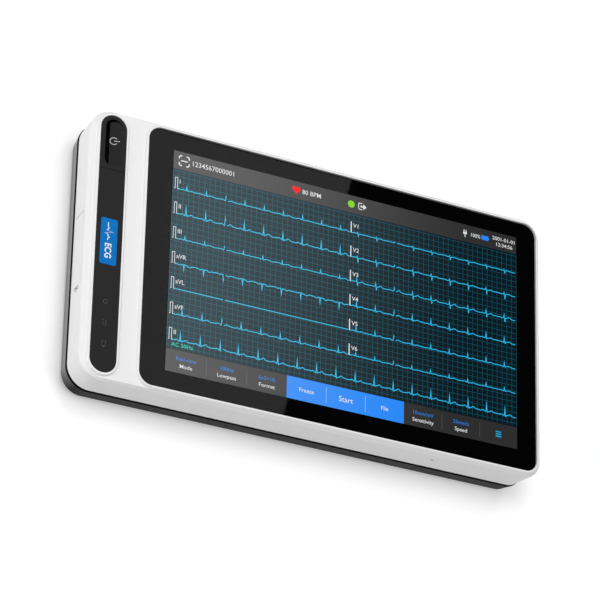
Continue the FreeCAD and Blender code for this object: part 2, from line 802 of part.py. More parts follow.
def key_board():
    board = slab(strip_mid_x - key_board_width / 2, strip_mid_x + key_board_width / 2,
                 strip_y0 + key_board_end, strip_y1 - key_board_end,
                 key_board_z - key_board_t, key_board_z, 1.0)
    return board.cut([rod(strip_mid_x, y, key_board_z - 5, key_board_z + 1, board_screw_r + 0.1)
                      for y in key_board_post_y])


def lamps(width, length, height):
    return [slab(strip_mid_x - width / 2, strip_mid_x + width / 2, strip_y0 + along - length / 2,
                 strip_y0 + along + length / 2, key_board_z, key_board_z + height)
            for along in lamp_from_front]


def light_pipes():
    low = key_board_z + lamp_height + lamp_clear
    return [rod(strip_mid_x, strip_y0 + along, low, strip_floor_z, lamp_pipe_r)
            for along in lamp_from_front]


# ---------------------------------------------------------------- flap
def port_flap():
    """Hinged cover that follows the leaning end wall, with the knuckle at its back end."""
    gap = flap_gap
    skin = Part.makeLoft([wall_outline(shell_low_z), wall_outline(crease_z)], True, True)
    inner = Part.makeLoft([wall_outline(shell_low_z, flap_t), wall_outline(crease_z, flap_t)], True, True)
    window = along_x(flap_y0 + gap, flap_y1 - hinge_end_gap, flap_z0 + gap, flap_z1 - gap, x_left - 1,
                     x_left + 8, flap_radius - gap)
    panel = skin.cut(inner).common(window)
    knuckle = hinge_rod(knuckle_r, flap_z0 + knuckle_short, flap_z1 - knuckle_short)
    panel = fused([panel, knuckle])
    return panel.cut(hinge_rod(hinge_pin_r + hinge_pin_gap, flap_z0 - 2, flap_z1 + 2))


# ---------------------------------------------------------------- boards
ecg_y = ecg_board_width / 2
main_posts = [(glass_x0 + 10.85, main_y0 + 6), (glass_x0 + 10.85, main_y1 - 14.5),
              (main_x1 - 10, main_y0 + 6), (main_x1 - 10, main_y1 - 14.5)]
ecg_posts = [(x, side * (ecg_y - 4)) for x in (ecg_x0 + 6, ecg_x1 - 6) for side in (-1, 1)]


def main_board():
    board = slab(main_x0, main_x1, main_y0, main_y1, board_low_z, board_top_z, 2.0)
    return board.cut([rod(x, y, board_low_z - 1, board_top_z + 1, board_screw_r + 0.2)
                      for x, y in main_posts])


def ecg_board():
    board = slab(ecg_x0, ecg_x1, -ecg_y, ecg_y, board_low_z, board_top_z, 2.0)
    return board.cut([rod(x, y, board_low_z - 1, board_top_z + 1, board_screw_r + 0.2)
                      for x, y in ecg_posts])


def standoffs():
    return [rod(x, y, board_top_z, chassis_low_z, standoff_r).cut(
        rod(x, y, board_top_z - 1, chassis_low_z + 1, standoff_bore_r)) for x, y in main_posts + ecg_posts]


def pan_screw(x, y, head_z, down, length, shank_r, head_r, head_h):
    """Screw driven upwards: its head hangs below head_z and its shank rises above it."""
    head = rod(x, y, head_z - head_h, head_z, head_r)
    shank = rod(x, y, head_z, head_z + length, shank_r)
    socket = rod(x, y, head_z - head_h - 1, head_z - head_h + down, head_r * 0.45)
    return fused([head, shank]).cut(socket)


def board_screws():
    """The small screws inside, all alike: through the boards, the chassis and the key board."""
    places = [(x, y, board_low_z, board_t) for x, y in main_posts + ecg_posts]
    places += [(x, y, chassis_low_z, chassis_t) for x, y in chassis_posts()]
    places += [(strip_mid_x, y, key_board_z - key_board_t, key_board_t) for y in key_board_post_y]
    return [pan_screw(x, y, z, 0.6, grip + board_screw_bite, board_screw_r, board_screw_head_r,
                      board_screw_head_h) for x, y, z, grip in places]


def chassis_posts():
    return [(x, side * chassis_screw_y)
            for x in (glass_x0 + chassis_left_post, x_right - chassis_right_post) for side in (-1, 1)]


def mid_chassis():
    """Aluminium plate behind the display, with slots for the flat cables and room for tall ports."""
    plate = slab(glass_x0 - chassis_left_reach, x_right - chassis_right_gap, -chassis_half_width,
                 chassis_half_width, chassis_low_z, chassis_top_z, 4.0)
    low = chassis_low_z - 1
    high = chassis_top_z + 1
    cuts = [slab(lan_x - lan_width / 2 - 1.5, lan_x + lan_width / 2 + 1.5, main_y1 - 10,
                 chassis_half_width + 1, low, high),
            slab(ecg_x1 - 11.5, x_right, -patient_window_width / 2 - 2.5,
                 patient_window_width / 2 + 2.5, low, high)]
    for y0, y1 in (display_flex_y, touch_flex_y):
        cuts.append(slab(flex_x - 1.5, flex_x + 6, y0 - 1, y1 + 1, low, high, 1.0))
    for x, y in chassis_posts():
        cuts.append(rod(x, y, low, high, board_screw_r + 0.2))
    return plate.cut(cuts)


flex_x = panel_box[0] - 1.9
display_flex_y = (8.0, 40.0)
touch_flex_y = (-18.0, -4.0)
key_flex_x = strip_x1 + 5.0


def drop_flex(y0, y1):
    """Flat cable from under the display tray down to its connector on the main board."""
    high = slab(flex_x, flex_x + 5.5, y0, y1, chassis_top_z - ribbon_t, chassis_top_z)
    drop = slab(flex_x, flex_x + ribbon_t, y0, y1, board_top_z + connector_h, chassis_top_z)
    return fused([high, drop])


def key_flex():
    under = key_board_z - key_board_t
    flat = slab(strip_mid_x + 1, key_flex_x, 8.0, 16.0, under - ribbon_t, under)
    drop = slab(key_flex_x - ribbon_t, key_flex_x, 8.0, 16.0, board_top_z + connector_h, under)
    return fused([flat, drop])


def board_link():
    z = board_top_z + 0.4
    return slab(main_x1 - 2, ecg_x0 + 2, -14.0, 6.0, z, z + ribbon_t)


def flex_connectors():
    """Sockets for the flat cables on the two boards; the link's two have a mouth for it."""
    top = board_top_z + connector_h
    blocks = [slab(flex_x - 2, flex_x + 2, y0 - 1, y1 + 1, board_top_z, top)
              for y0, y1 in (display_flex_y, touch_flex_y)]
    blocks.append(slab(key_flex_x - 2, key_flex_x + 2, 7.0, 17.0, board_top_z, top))
    blocks.append(slab(main_x1 - 5, main_x1 - 1, -15.0, 7.0, board_top_z, top).cut(board_link()))
    blocks.append(slab(ecg_x0 + 1, ecg_x0 + 5, -15.0, 7.0, board_top_z, top).cut(board_link()))
    return blocks


def shield(x0, x1, y0, y1, height, sheet=0.3):
    can = slab(x0, x1, y0, y1, board_top_z, board_top_z + height, 1.0)
    return can.cut(slab(x0 + sheet, x1 - sheet, y0 + sheet, y1 - sheet, board_top_z - 1,
                        board_top_z + height - sheet, 0.7))


def board_chips():
    places = [(62, 8, 14, 14, 1.2), (80, 30, 10, 12, 1.0), (100, -12, 12, 9, 1.0), (48, -16, 8, 8, 0.9),
              (118, 22, 9, 9, 1.4)]
    chips = [slab(main_x0 + dx, main_x0 + dx + w, y, y + d, board_top_z, board_top_z + h)
             for dx, y, w, d, h in places]
    coil_x1 = flex_x - coil_to_flex
    for y in coil_y:
        chips.append(slab(coil_x1 - coil_size, coil_x1, y, y + coil_size, board_top_z, board_top_z + coil_h))
    return chips


# ---------------------------------------------------------------- ports
def dc_jack():
    low = board_top_z
    middle = low + jack_size / 2
    block = along_y(jack_x - jack_size / 2, jack_x + jack_size / 2, low, low + jack_size,
                    port_face_y - jack_depth, port_face_y, 1.0)
    return block.cut(rod_y(jack_x, middle, port_face_y - jack_bore_depth, port_face_y + 1, jack_bore_r))


def dc_jack_pin():
    middle = board_top_z + jack_size / 2
    return rod_y(jack_x, middle, port_face_y - jack_bore_depth, port_face_y - 1.0, jack_pin_r)


def usb_a_port():
    low = board_top_z
    block = along_y(usb_x - usb_width / 2, usb_x + usb_width / 2, low, low + usb_height,
                    port_face_y - usb_depth, port_face_y, 0.6)
    s = usb_sheet
    return block.cut(along_y(usb_x - usb_width / 2 + s, usb_x + usb_width / 2 - s, low + s,
                             low + usb_height - s, port_face_y - usb_depth + 1.0, port_face_y + 1, 0.4))


def usb_a_tongue():
    z1 = board_top_z + usb_height - usb_sheet - 0.5
    return along_y(usb_x - usb_tongue_width / 2, usb_x + usb_tongue_width / 2, z1 - usb_tongue_t, z1,
                   port_face_y - usb_depth + 1.0, port_face_y - 0.6)


def lan_port():
    low = board_top_z
    block = along_y(lan_x - lan_width / 2, lan_x + lan_width / 2, low, low + lan_height,
                    port_face_y - lan_depth, port_face_y, 0.4)
    floor = low + lan_floor
    bay = along_y(lan_x - lan_bay_width / 2, lan_x + lan_bay_width / 2, floor + lan_key_height,
                  floor + lan_bay_height, port_face_y - lan_bay_depth, port_face_y + 1)
    key = along_y(lan_x - lan_key_width / 2, lan_x + lan_key_width / 2, floor, floor + lan_bay_height,
                  port_face_y - lan_bay_depth, port_face_y + 1)
    return block.cut([bay, key])


def lan_contacts():
    """Eight sprung wires that lean down from the roof of the bay."""
    z1 = board_top_z + lan_floor + lan_bay_height
    y0 = port_face_y - lan_bay_depth
    wires = []
    for index in range(8):
        x = lan_x + (index - 3.5) * lan_contact_pitch
        side = Part.makePolygon([V(x - 0.2, y0, z1 - 2.6), V(x - 0.2, y0, z1 - 2.2),
                                 V(x - 0.2, y0 + 9, z1), V(x - 0.2, y0 + 10.5, z1), V(x - 0.2, y0, z1 - 2.6)])
        wires.append(Part.Face(side).extrude(V(0.4, 0, 0)))
    return wires


def usb_c_port():
    low = board_top_z
    y0 = usbc_y - usbc_width / 2
    y1 = usbc_y + usbc_width / 2
    s = usbc_sheet
    block = along_x(y0, y1, low, low + usbc_height, flap_floor_x, flap_floor_x + usbc_depth,
                    usbc_height / 2 - 1e-3)
    return block.cut(along_x(y0 + s, y1 - s, low + s, low + usbc_height - s, flap_floor_x - 1,
                             flap_floor_x + usbc_depth - 0.8, usbc_height / 2 - s - 1e-3))


def usb_c_tongue():
    middle = board_top_z + usbc_height / 2
    return along_x(usbc_y - usbc_tongue_width / 2, usbc_y + usbc_tongue_width / 2,
                   middle - usbc_tongue_t / 2, middle + usbc_tongue_t / 2, flap_floor_x + 1.0,
                   flap_floor_x + usbc_depth - 0.8)


def card_slot():
    low = board_top_z
    block = along_x(card_y - card_width / 2, card_y + card_width / 2, low, low + card_height,
                    flap_floor_x, flap_floor_x + 15.0)
    return block.cut(along_x(card_y - 5.6, card_y + 5.6, low + 0.5, low + 1.4, flap_floor_x - 1,
                             flap_floor_x + 13.5))


def patient_port_shell():
    """Flange plate behind the recess floor with the D-shaped metal shell standing out of it."""
    x1 = patient_floor_x - patient_floor
    x0 = x1 - patient_flange_t
    flange = along_x(-patient_flange_width / 2, patient_flange_width / 2, board_top_z,
                     board_top_z + patient_flange_height, x0, x1, 1.0)
    tube = d_section(patient_shell_width, patient_shell_height, patient_shell_radius,
                     x0, x1 + patient_shell_reach)
    inner = d_section(patient_shell_width - 2 * patient_shell_sheet,
                      patient_shell_height - 2 * patient_shell_sheet,
                      patient_shell_radius - patient_shell_sheet, x0 - 1, x1 + patient_shell_reach + 1)
    holes = [rod_x(side * patient_nut_spacing / 2, patient_z, x0 - 1, x1 + 1, patient_stem_r + 0.1)
             for side in (-1, 1)]
    return fused([flange, tube]).cut([inner] + holes)


def patient_port_body():
    """Black insulator with eight and seven contact holes."""
    x1 = patient_floor_x - patient_floor
    front = x1 + patient_shell_reach - 0.3
    sheet = patient_shell_sheet + 0.05
    core = d_section(patient_shell_width - 2 * sheet, patient_shell_height - 2 * sheet,
                     patient_shell_radius - sheet, x1 - patient_flange_t - 1, front)
    block = slab(x1 - patient_flange_t - patient_body_depth, x1 - patient_flange_t,
                 -patient_shell_width / 2 + 0.5, patient_shell_width / 2 - 0.5, board_top_z,
                 board_top_z + patient_body_height)
    holes = []
    for count, row in ((8, 0.5), (7, -0.5)):
        for index in range(count):
            y = (index - (count - 1) / 2) * patient_pin_pitch
            holes.append(rod_x(y, patient_z + row * patient_row_pitch, front - patient_pin_depth,
                               front + 1, patient_pin_r))
    return fused([core, block]).cut(holes)


def patient_port_nuts():
    """Hexagonal jack nuts that clamp the flange and take the cable's thumbscrews."""
    nuts = []
    for side in (-1, 1):
        y = side * patient_nut_spacing / 2
        x0 = patient_floor_x
        nut = hexagon(y, patient_z, x0, x0 + patient_nut_length, patient_nut_flat)
        stem = rod_x(y, patient_z, x0 - patient_stem_length, x0, patient_stem_r)
        bore = rod_x(y, patient_z, x0 - 1.0, x0 + patient_nut_length + 1, patient_nut_bore_r)
        nuts.append(fused([nut, stem]).cut(bore))
    return nuts


# ---------------------------------------------------------------- sound and radio
def speaker_block(z0, z1, grow=0.0, r=2.0):
    return slab(speaker_x - speaker_length / 2 + grow, speaker_x + speaker_length / 2 - grow,
                speaker_y - speaker_width / 2 + grow, speaker_y + speaker_width / 2 - grow, z0, z1, r)


def mic_boot():
    """Rubber boot that seals the microphone to the inside of the front wall."""
    z = glass_z - mic_drop
    block = slab(mic_x - 4, mic_x + 4, y_front, y_front + 8.5, z - 3.2, z + 3.2)
    block = block.common(front_hollow())
    block = block.cut(rod_y(mic_x, z, y_front + 5.2, y_front + 9.5, mic_capsule_r))
    return block.cut(rod_y(mic_x, z, y_front, y_front + 9, 0.6))


# ---------------------------------------------------------------- battery
def battery_case():
    box = (battery_x0, battery_x1, -battery_width / 2, battery_width / 2)
    tray = slab(*box, battery_z, battery_z + battery_height - battery_wall, 1.2)
    w = battery_wall
    return tray.cut(slab(box[0] + w, box[1] - w, box[2] + w, box[3] - w, battery_z + w,
                         battery_z + battery_height, 0.5))


def battery_lid():
    return slab(battery_x0, battery_x1, -battery_width / 2, battery_width / 2,
                battery_z + battery_height - battery_wall, battery_z + battery_height, 1.2)


def battery_cells():
    w = battery_wall + 0.5
    low = battery_z + battery_wall
    high = battery_z + battery_height - battery_wall
    middle = (battery_x0 + battery_x1) / 2
    return [slab(x0, x1, -battery_width / 2 + w + 4, battery_width / 2 - w, low, high, 2.0)
            for x0, x1 in ((battery_x0 + w, middle - 0.4), (middle + 0.4, battery_x1 - w))]


def contact_block():
    """Block in a slot of the bay's wall, resting on the pad below it."""
    return slab(bay_x0 - bay_wall - 3.0, bay_x0 - 0.4, -contact_width / 2, contact_width / 2,
                contact_z - contact_gap, contact_z + contact_height)


def contact_blades():
    return [slab(bay_x0 - 0.4, battery_x0, y - 0.6, y + 0.6, contact_z + 0.8, contact_z + 4.8)
            for y in (-5.0, 0.0, 5.0)]


def battery_door():
    door = door_recess(door_gap)
    for side in (-1, 1):
        door = door.cut(rod(door_screw_x, side * door_screw_y, base_z - 1, base_z + 0.9, 2.9))
        door = door.cut(rod(door_screw_x, side * door_screw_y, base_z - 1, base_z + 5, 1.45))
    return door


def door_screws():
    return [pan_screw(door_screw_x, side * door_screw_y, base_z + 0.9, 0.5, 5.6, 1.25, 2.6, 0.8)
            for side in (-1, 1)]


# ---------------------------------------------------------------- fixings
def housing_screws():
    return [pan_screw(x, y, screw_seat_z, 1.2, boss_split_z + insert_length + 1.5 - screw_seat_z,
                      screw_shank_r, screw_head_r, screw_head_h) for x, y in bosses]


def housing_inserts():
    return [rod(x, y, boss_split_z, boss_split_z + insert_length, insert_r).cut(
        rod(x, y, boss_split_z - 1, boss_split_z + insert_length + 1, screw_shank_r + thread_gap))
        for x, y in bosses]


def mount_inserts():
    half = mount_spacing / 2
    return [rod(sx * half, sy * half, base_z, base_z + mount_insert_length, mount_insert_r).cut(
        rod(sx * half, sy * half, base_z - 1, base_z + mount_insert_length + 1, mount_bore_r))
        for sx in (-1, 1) for sy in (-1, 1)]


def rubber_foot(x, y):
    foot = rod(x, y, 0, base_z + foot_sink, foot_r)
    return foot.makeFillet(0.5, edges_at(foot, 0))


# ---------------------------------------------------------------- make every piece
save("front_housing", front_housing())
save("rear_housing", rear_housing())
save("parting_seal", parting_seal())

save("cover_glass", slab(*glass_box[:4], border_z, glass_z, glass_box[4]))
save("glass_border", slab(*glass_box[:4], tape_z, border_z, glass_box[4]).cut(
    slab(*view_box, tape_z - 1, border_z + 1)))
save("glass_tape", ring(glass_box, grown(glass_box, -tape_width), ledge_z, tape_z))
save("display_panel", slab(*panel_box[:4], backlight_top_z, tape_z, panel_box[4]))
save("backlight", slab(*panel_box[:4], tray_floor_z, backlight_top_z, panel_box[4]))
tray = slab(*tray_box[:4], chassis_top_z, tape_z - tray_lip_drop, tray_box[4])
tray_hollow = grown(panel_box, tray_gap)
save("display_tray", tray.cut(slab(*tray_hollow[:4], tray_floor_z, top_z, tray_hollow[4])))
save("mid_chassis", mid_chassis())

save("strip_panel", strip_panel())
save("badge_plate", slab(*badge_box(0.0), glass_z - badge_sink, glass_z - badge_sink + badge_t,
                         badge_round))
save("power_key", power_key())
save("power_switch", power_switch())
save("switch_plunger", switch_plunger())
save("key_board", key_board())
save("status_lamps", group(lamps(2.0, 1.25, lamp_height)))
save("light_pipes", group(light_pipes()))

save("port_flap", port_flap())
save("flap_pin", hinge_rod(hinge_pin_r, flap_z0 - hinge_pin_bite, flap_z1 + hinge_pin_bite))
save("usb_c_port", usb_c_port())
save("card_slot", card_slot())

save("main_board", main_board())
save("ecg_board", ecg_board())
save("board_standoffs", group(standoffs()))
save("board_screws", group(board_screws()))
save("processor_shield", shield(main_x0 + 60, main_x0 + 98, 0, 44, 2.6).cut(
    slab(main_x0 + 59, main_x0 + 99, -1, 0.1, 0, 40)))
save("board_chips", group(board_chips()))
save("coin_cell", rod(main_x0 + 140, 2, board_top_z, board_top_z + 3.2, 10.0))
save("ecg_shield", shield(ecg_x0 + 10, ecg_x0 + 30, -22, 22, 4.0))
save("flex_connectors", group(flex_connectors()))
save("display_flex", drop_flex(*display_flex_y))
save("touch_flex", drop_flex(*touch_flex_y))
save("key_flex", key_flex())
save("board_link", board_link())

save("patient_port_shell", patient_port_shell())
save("patient_port_body", patient_port_body())
save("patient_port_nuts", group(patient_port_nuts()))
save("dc_jack", dc_jack())
save("usb_a_port", usb_a_port())
save("port_tongues", group([usb_a_tongue(), usb_c_tongue()]))
save("lan_port", lan_port())
save("port_contacts", group(lan_contacts() + [dc_jack_pin()]))

save("speaker", speaker_block(floor_z + speaker_gasket_t, floor_z + speaker_gasket_t + speaker_height))
save("speaker_gasket", speaker_block(floor_z, floor_z + speaker_gasket_t).cut(
    speaker_block(floor_z - 1, floor_z + 2, 1.6, 1.0)))
save("mic_boot", mic_boot())
save("microphone", rod_y(mic_x, glass_z - mic_drop, y_front + 5.2, y_front + 7.2, mic_capsule_r))
save("wifi_antenna", slab(strip_x1 + 4, strip_x1 + 11, 0, 38, ceiling_z - 0.6, ceiling_z, 0.5))

save("battery_case", battery_case())
save("battery_lid", battery_lid())
save("battery_cells", group(battery_cells()))
save("contact_block", contact_block())
save("contact_blades", group(contact_blades()))
save("battery_door", battery_door())
save("door_screws", group(door_screws()))
save("housing_screws", group(housing_screws()))
save("housing_inserts", group(housing_inserts()))
save("mount_inserts", group(mount_inserts()))
save("rubber_feet", group([rubber_foot(x, y) for x, y in foot_places()]))
save("rating_label", slab(*label_box(0.05), base_z, base_z + label_t, 1.95))
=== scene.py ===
import math

import bmesh
import bpy
from mathutils import Matrix, Quaternion, Vector
from mathutils.bvhtree import BVHTree


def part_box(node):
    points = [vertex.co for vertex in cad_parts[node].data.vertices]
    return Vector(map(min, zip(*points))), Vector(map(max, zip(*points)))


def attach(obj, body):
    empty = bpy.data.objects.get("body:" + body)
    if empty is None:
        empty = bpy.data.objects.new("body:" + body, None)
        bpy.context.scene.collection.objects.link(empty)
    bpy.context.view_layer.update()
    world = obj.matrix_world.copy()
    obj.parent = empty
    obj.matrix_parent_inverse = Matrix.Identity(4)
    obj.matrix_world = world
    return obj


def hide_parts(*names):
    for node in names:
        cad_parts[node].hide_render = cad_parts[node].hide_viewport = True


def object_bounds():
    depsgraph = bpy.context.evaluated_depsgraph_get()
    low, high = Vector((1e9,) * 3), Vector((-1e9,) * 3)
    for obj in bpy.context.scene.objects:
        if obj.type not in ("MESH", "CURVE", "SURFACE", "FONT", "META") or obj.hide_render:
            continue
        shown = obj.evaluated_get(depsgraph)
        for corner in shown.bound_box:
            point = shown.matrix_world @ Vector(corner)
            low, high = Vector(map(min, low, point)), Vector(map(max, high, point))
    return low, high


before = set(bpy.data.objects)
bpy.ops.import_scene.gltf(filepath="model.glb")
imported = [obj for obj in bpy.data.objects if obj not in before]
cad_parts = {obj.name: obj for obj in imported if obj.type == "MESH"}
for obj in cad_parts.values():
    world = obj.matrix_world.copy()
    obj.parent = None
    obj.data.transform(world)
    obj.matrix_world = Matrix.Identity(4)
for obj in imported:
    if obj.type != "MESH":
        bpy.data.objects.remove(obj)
cad_low, cad_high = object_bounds()
mm = 0.001


# ---------------------------------------------------------------- rear housing
# The lower half of the case: a black satin tray moulded in ABS, with the battery bay, the screw
# wells and the speaker grille in its underside.  Its skin carries the fine grain of a
# spark-eroded tool, and is dull but for a glossier end at the strip.
class Link:
    """One output in a finish's node tree; arithmetic on it adds Math nodes."""

    def __init__(self, finish, output):
        self.finish = finish
        self.output = output

    def maths(self, operation, *values):
        return self.finish.node("ShaderNodeMath", {"operation": operation}, dict(enumerate(values)))

    def __add__(self, other):
        return self.maths("ADD", self, other)

    def __sub__(self, other):
        return self.maths("SUBTRACT", self, other)

    def __rsub__(self, other):
        return self.maths("SUBTRACT", other, self)

    def __mul__(self, other):
        return self.maths("MULTIPLY", self, other)

    __radd__ = __add__
    __rmul__ = __mul__

    def over(self, edge):
        return self.maths("GREATER_THAN", self, edge)

    def between(self, low, high):
        """0 below low, 1 above high and a soft step between them."""
        return self.finish.node("ShaderNodeMapRange", {"interpolation_type": "SMOOTHSTEP"},
                                {"Value": self, "From Min": low, "From Max": high})


class Finish:
    """A material being built: a principled shader and the nodes that feed it."""

    def __init__(self, name, sockets):
        self.material = bpy.data.materials.new(name)
        self.material.use_nodes = True
        self.tree = self.material.node_tree
        self.shader = self.tree.nodes["Principled BSDF"]
        self.place = self.node("ShaderNodeTexCoord", {}, {}, "Object")
        self.feed(sockets)

    def feed(self, sockets, node=None):
        node = node or self.shader
        for name, value in sockets.items():
            socket = node.inputs[name]
            if isinstance(value, Link):
                self.tree.links.new(value.output, socket)
            elif socket.type == "RGBA":
                socket.default_value = (*value[:3], 1.0)
            else:
                socket.default_value = value

    def node(self, kind, settings, sockets, output=0):
        made = self.tree.nodes.new(kind)
        for name, value in settings.items():
            setattr(made, name, value)
        self.feed(sockets, made)
        return Link(self, made.outputs[output])

    def axis(self, name):
        return self.node("ShaderNodeSeparateXYZ", {}, {"Vector": self.place}, name)

    def noise(self, size, detail=2.0, stretch=(1, 1, 1)):
        """Cloudy pattern from 0 to 1 whose blots are about size metres across."""
        place = self.node("ShaderNodeMapping", {}, {"Vector": self.place, "Scale": stretch})
        return self.node("ShaderNodeTexNoise", {}, {"Vector": place, "Scale": 1 / size, "Detail": detail})

    def mix(self, share, first, second):
        return self.node("ShaderNodeMix", {"data_type": "RGBA"}, {0: share, 6: first, 7: second}, 2)

    def relief(self, height, depth):
        bump = self.node("ShaderNodeBump", {}, {"Height": height, "Distance": depth, "Strength": 1.0})
        self.feed({"Normal": bump})


def tinted(colour, by):
    return tuple(min(1.0, channel * by) for channel in colour)


def moulded(name, colour, roughness, grain, depth, coat=0.0, uneven=0.05, specular=0.5):
    """Moulded plastic or rubber: grain in metres, cloudy pigment and a handled, uneven gloss."""
    finish = Finish(name, {"Coat Weight": coat, "Coat Roughness": 0.12, "Specular IOR Level": specular})
    pigment = finish.noise(22 * mm, 3.0)
    handled = finish.noise(7 * mm, 4.0)
    finish.feed({"Base Color": finish.mix(pigment, tinted(colour, 1 - uneven), tinted(colour, 1 + uneven)),
                 "Roughness": roughness + (handled - 0.5) * 0.14})
    finish.relief(finish.noise(grain), depth)
    return finish.material


def dress(material, *nodes):
    """Gives finished parts their material."""
    for node in nodes:
        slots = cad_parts[node].data.materials
        slots.clear()
        slots.append(material)


black_plastic = moulded("black_satin_plastic", (0.006, 0.006, 0.0063), 0.42, 0.35 * mm, 0.006 * mm,
                        specular=0.05)
tray = Finish("tray_black_plastic", {"Specular IOR Level": 0.05, "Coat Roughness": 0.2})
gloss_full = cad_low.x + 1.0 * mm
gloss_end = cad_low.x + 9.0 * mm
glossy = 1 - tray.axis("X").between(gloss_full, gloss_end)
rubbed = tray.noise(7 * mm, 4.0)
tray.feed({"Base Color": tray.mix(rubbed, (0.0057, 0.0057, 0.006), (0.0063, 0.0063, 0.0066)),
           "Roughness": 0.42 + (rubbed - 0.5) * 0.14, "Coat Weight": glossy * (0.85 + rubbed * 0.15)})
tray.relief(tray.noise(0.35 * mm), 0.006 * mm)
dress(tray.material, "rear_housing")


# ---------------------------------------------------------------- brass inserts
# Knurled brass bushes pressed hot into the bosses: four M4 ones for the wall or trolley plate and
# eight M3 ones that take the housing screws, with small turned brass pillars for the boards.
def metal(name, colour, roughness, line, stretch=(1, 1, 1), depth=0.002 * mm):
    """Bare metal with drawn or turned lines about line metres apart, and duller stains."""
    finish = Finish(name, {"Metallic": 1.0})
    lines = finish.noise(line, 3.0, stretch)
    stain = finish.noise(5 * mm, 3.0)
    finish.feed({"Base Color": finish.mix(stain, tinted(colour, 0.82), tinted(colour, 1.06)),
                 "Roughness": roughness + lines * 0.14 + stain * 0.08})
    finish.relief(lines, depth)
    return finish.material


brass = metal("turned_brass", (0.76, 0.55, 0.26), 0.24, 0.18 * mm, (1, 1, 6))
dress(brass, "mount_inserts", "housing_inserts", "board_standoffs")


# ---------------------------------------------------------------- loudspeaker
# A flat moving-coil loudspeaker in a black frame, pressed on a ring of grey foam that seals it to
# the grille in the back.
dress(moulded("speaker_frame", (0.02, 0.02, 0.022), 0.5, 0.3 * mm, 0.008 * mm), "speaker")
foam = Finish("grey_foam", {"Specular IOR Level": 0.2})
cells = foam.noise(0.5 * mm, 4.0)
foam.feed({"Base Color": foam.mix(cells, (0.05, 0.05, 0.055), (0.11, 0.11, 0.115)),
           "Roughness": 0.85 + cells * 0.1})
foam.relief(cells, 0.12 * mm)
dress(foam.material, "speaker_gasket")


# ---------------------------------------------------------------- battery
# Two soft foil cells in a blue plastic case with a glued lid; three gold-plated blades stand out of
# a black block in the wall of the bay and press on it.
battery_blue = moulded("battery_case_blue", (0.03, 0.11, 0.34), 0.42, 0.4 * mm, 0.008 * mm)
dress(battery_blue, "battery_case", "battery_lid")
foil = Finish("cell_foil", {"Metallic": 0.85})
crease = foil.noise(4 * mm, 5.0)
foil.feed({"Base Color": foil.mix(crease, (0.55, 0.56, 0.58), (0.74, 0.74, 0.76)),
           "Roughness": 0.24 + crease * 0.22})
foil.relief(crease, 0.08 * mm)
dress(foil.material, "battery_cells")
port_black = moulded("glass_filled_black", (0.012, 0.012, 0.013), 0.42, 0.25 * mm, 0.006 * mm)
gold = metal("plated_gold", (0.9, 0.66, 0.28), 0.16, 0.3 * mm, (1, 1, 1), 0.0008 * mm)
dress(port_black, "contact_block")
dress(gold, "contact_blades")


# ---------------------------------------------------------------- circuit boards
# The main board, the patient-signal board, the key board and the little aerial: green solder mask
# over copper tracks, which show as paler ridges, with a sprinkle of plated holes.
def circuit_board(name, mask, track):
    finish = Finish(name, {"Coat Weight": 0.5, "Coat Roughness": 0.15})
    x, y = finish.axis("X"), finish.axis("Y")
    way = finish.noise(9 * mm, 1.0).over(0.5)
    across = x * way + y * (1 - way)
    stripes = (across * (2 * math.pi / (1.1 * mm))).maths("SINE", across * (2 * math.pi / (1.1 * mm)))
    tracks = stripes.over(0.35) * finish.noise(5 * mm, 2.0).over(0.52)
    spots = finish.node("ShaderNodeTexVoronoi", {}, {"Vector": finish.place, "Scale": 1 / (2.6 * mm)})
    holes = 1 - spots.over(0.1)
    green = finish.mix(tracks, mask, track)
    finish.feed({"Base Color": finish.mix(holes, green, (0.7, 0.58, 0.3)),
                 "Roughness": 0.42 - holes * 0.15 + finish.noise(2 * mm) * 0.06})
    finish.relief(tracks + holes, 0.02 * mm)
    return finish.material


dress(circuit_board("green_board", (0.008, 0.075, 0.032), (0.02, 0.16, 0.07)),
      "main_board", "ecg_board", "key_board", "wifi_antenna")


# ---------------------------------------------------------------- parts on the boards
# Soldered down on the two boards: moulded chips, tinned screening cans, a coin cell for the clock,
# and ivory sockets with amber flat cables plugged into them.
dress(moulded("chip_epoxy", (0.018, 0.018, 0.019), 0.55, 0.12 * mm, 0.006 * mm), "board_chips")
dress(metal("tinned_steel", (0.72, 0.72, 0.71), 0.3, 0.4 * mm, (1, 4, 1)), "processor_shield", "ecg_shield")
dress(metal("coin_cell_steel", (0.68, 0.68, 0.67), 0.22, 0.25 * mm, (3, 1, 1)), "coin_cell")
dress(moulded("ivory_socket", (0.74, 0.68, 0.54), 0.45, 0.2 * mm, 0.004 * mm), "flex_connectors")
flex = Finish("amber_flat_cable", {"Coat Weight": 0.6, "Coat Roughness": 0.1})
wires = flex.axis("Y") * (2 * math.pi / (1.0 * mm))
ridges = wires.maths("SINE", wires).between(-0.2, 0.5)
flex.feed({"Base Color": flex.mix(ridges, (0.42, 0.17, 0.03), (0.62, 0.31, 0.08)),
           "Roughness": 0.3 + flex.noise(3 * mm) * 0.12})
flex.relief(ridges, 0.03 * mm)
dress(flex.material, "display_flex", "touch_flex", "key_flex", "board_link")


# ---------------------------------------------------------------- chassis and small screws
# A pressed aluminium plate carries the boards behind the display, on the housing's posts; pan-head
# steel screws go through the boards and the plate.
dress(metal("pressed_aluminium", (0.78, 0.79, 0.8), 0.34, 0.35 * mm, (0.15, 1, 1)), "mid_chassis")
screw_steel = metal("nickel_plated_steel", (0.62, 0.62, 0.63), 0.26, 0.2 * mm, (1, 1, 1))
dress(screw_steel, "board_screws")


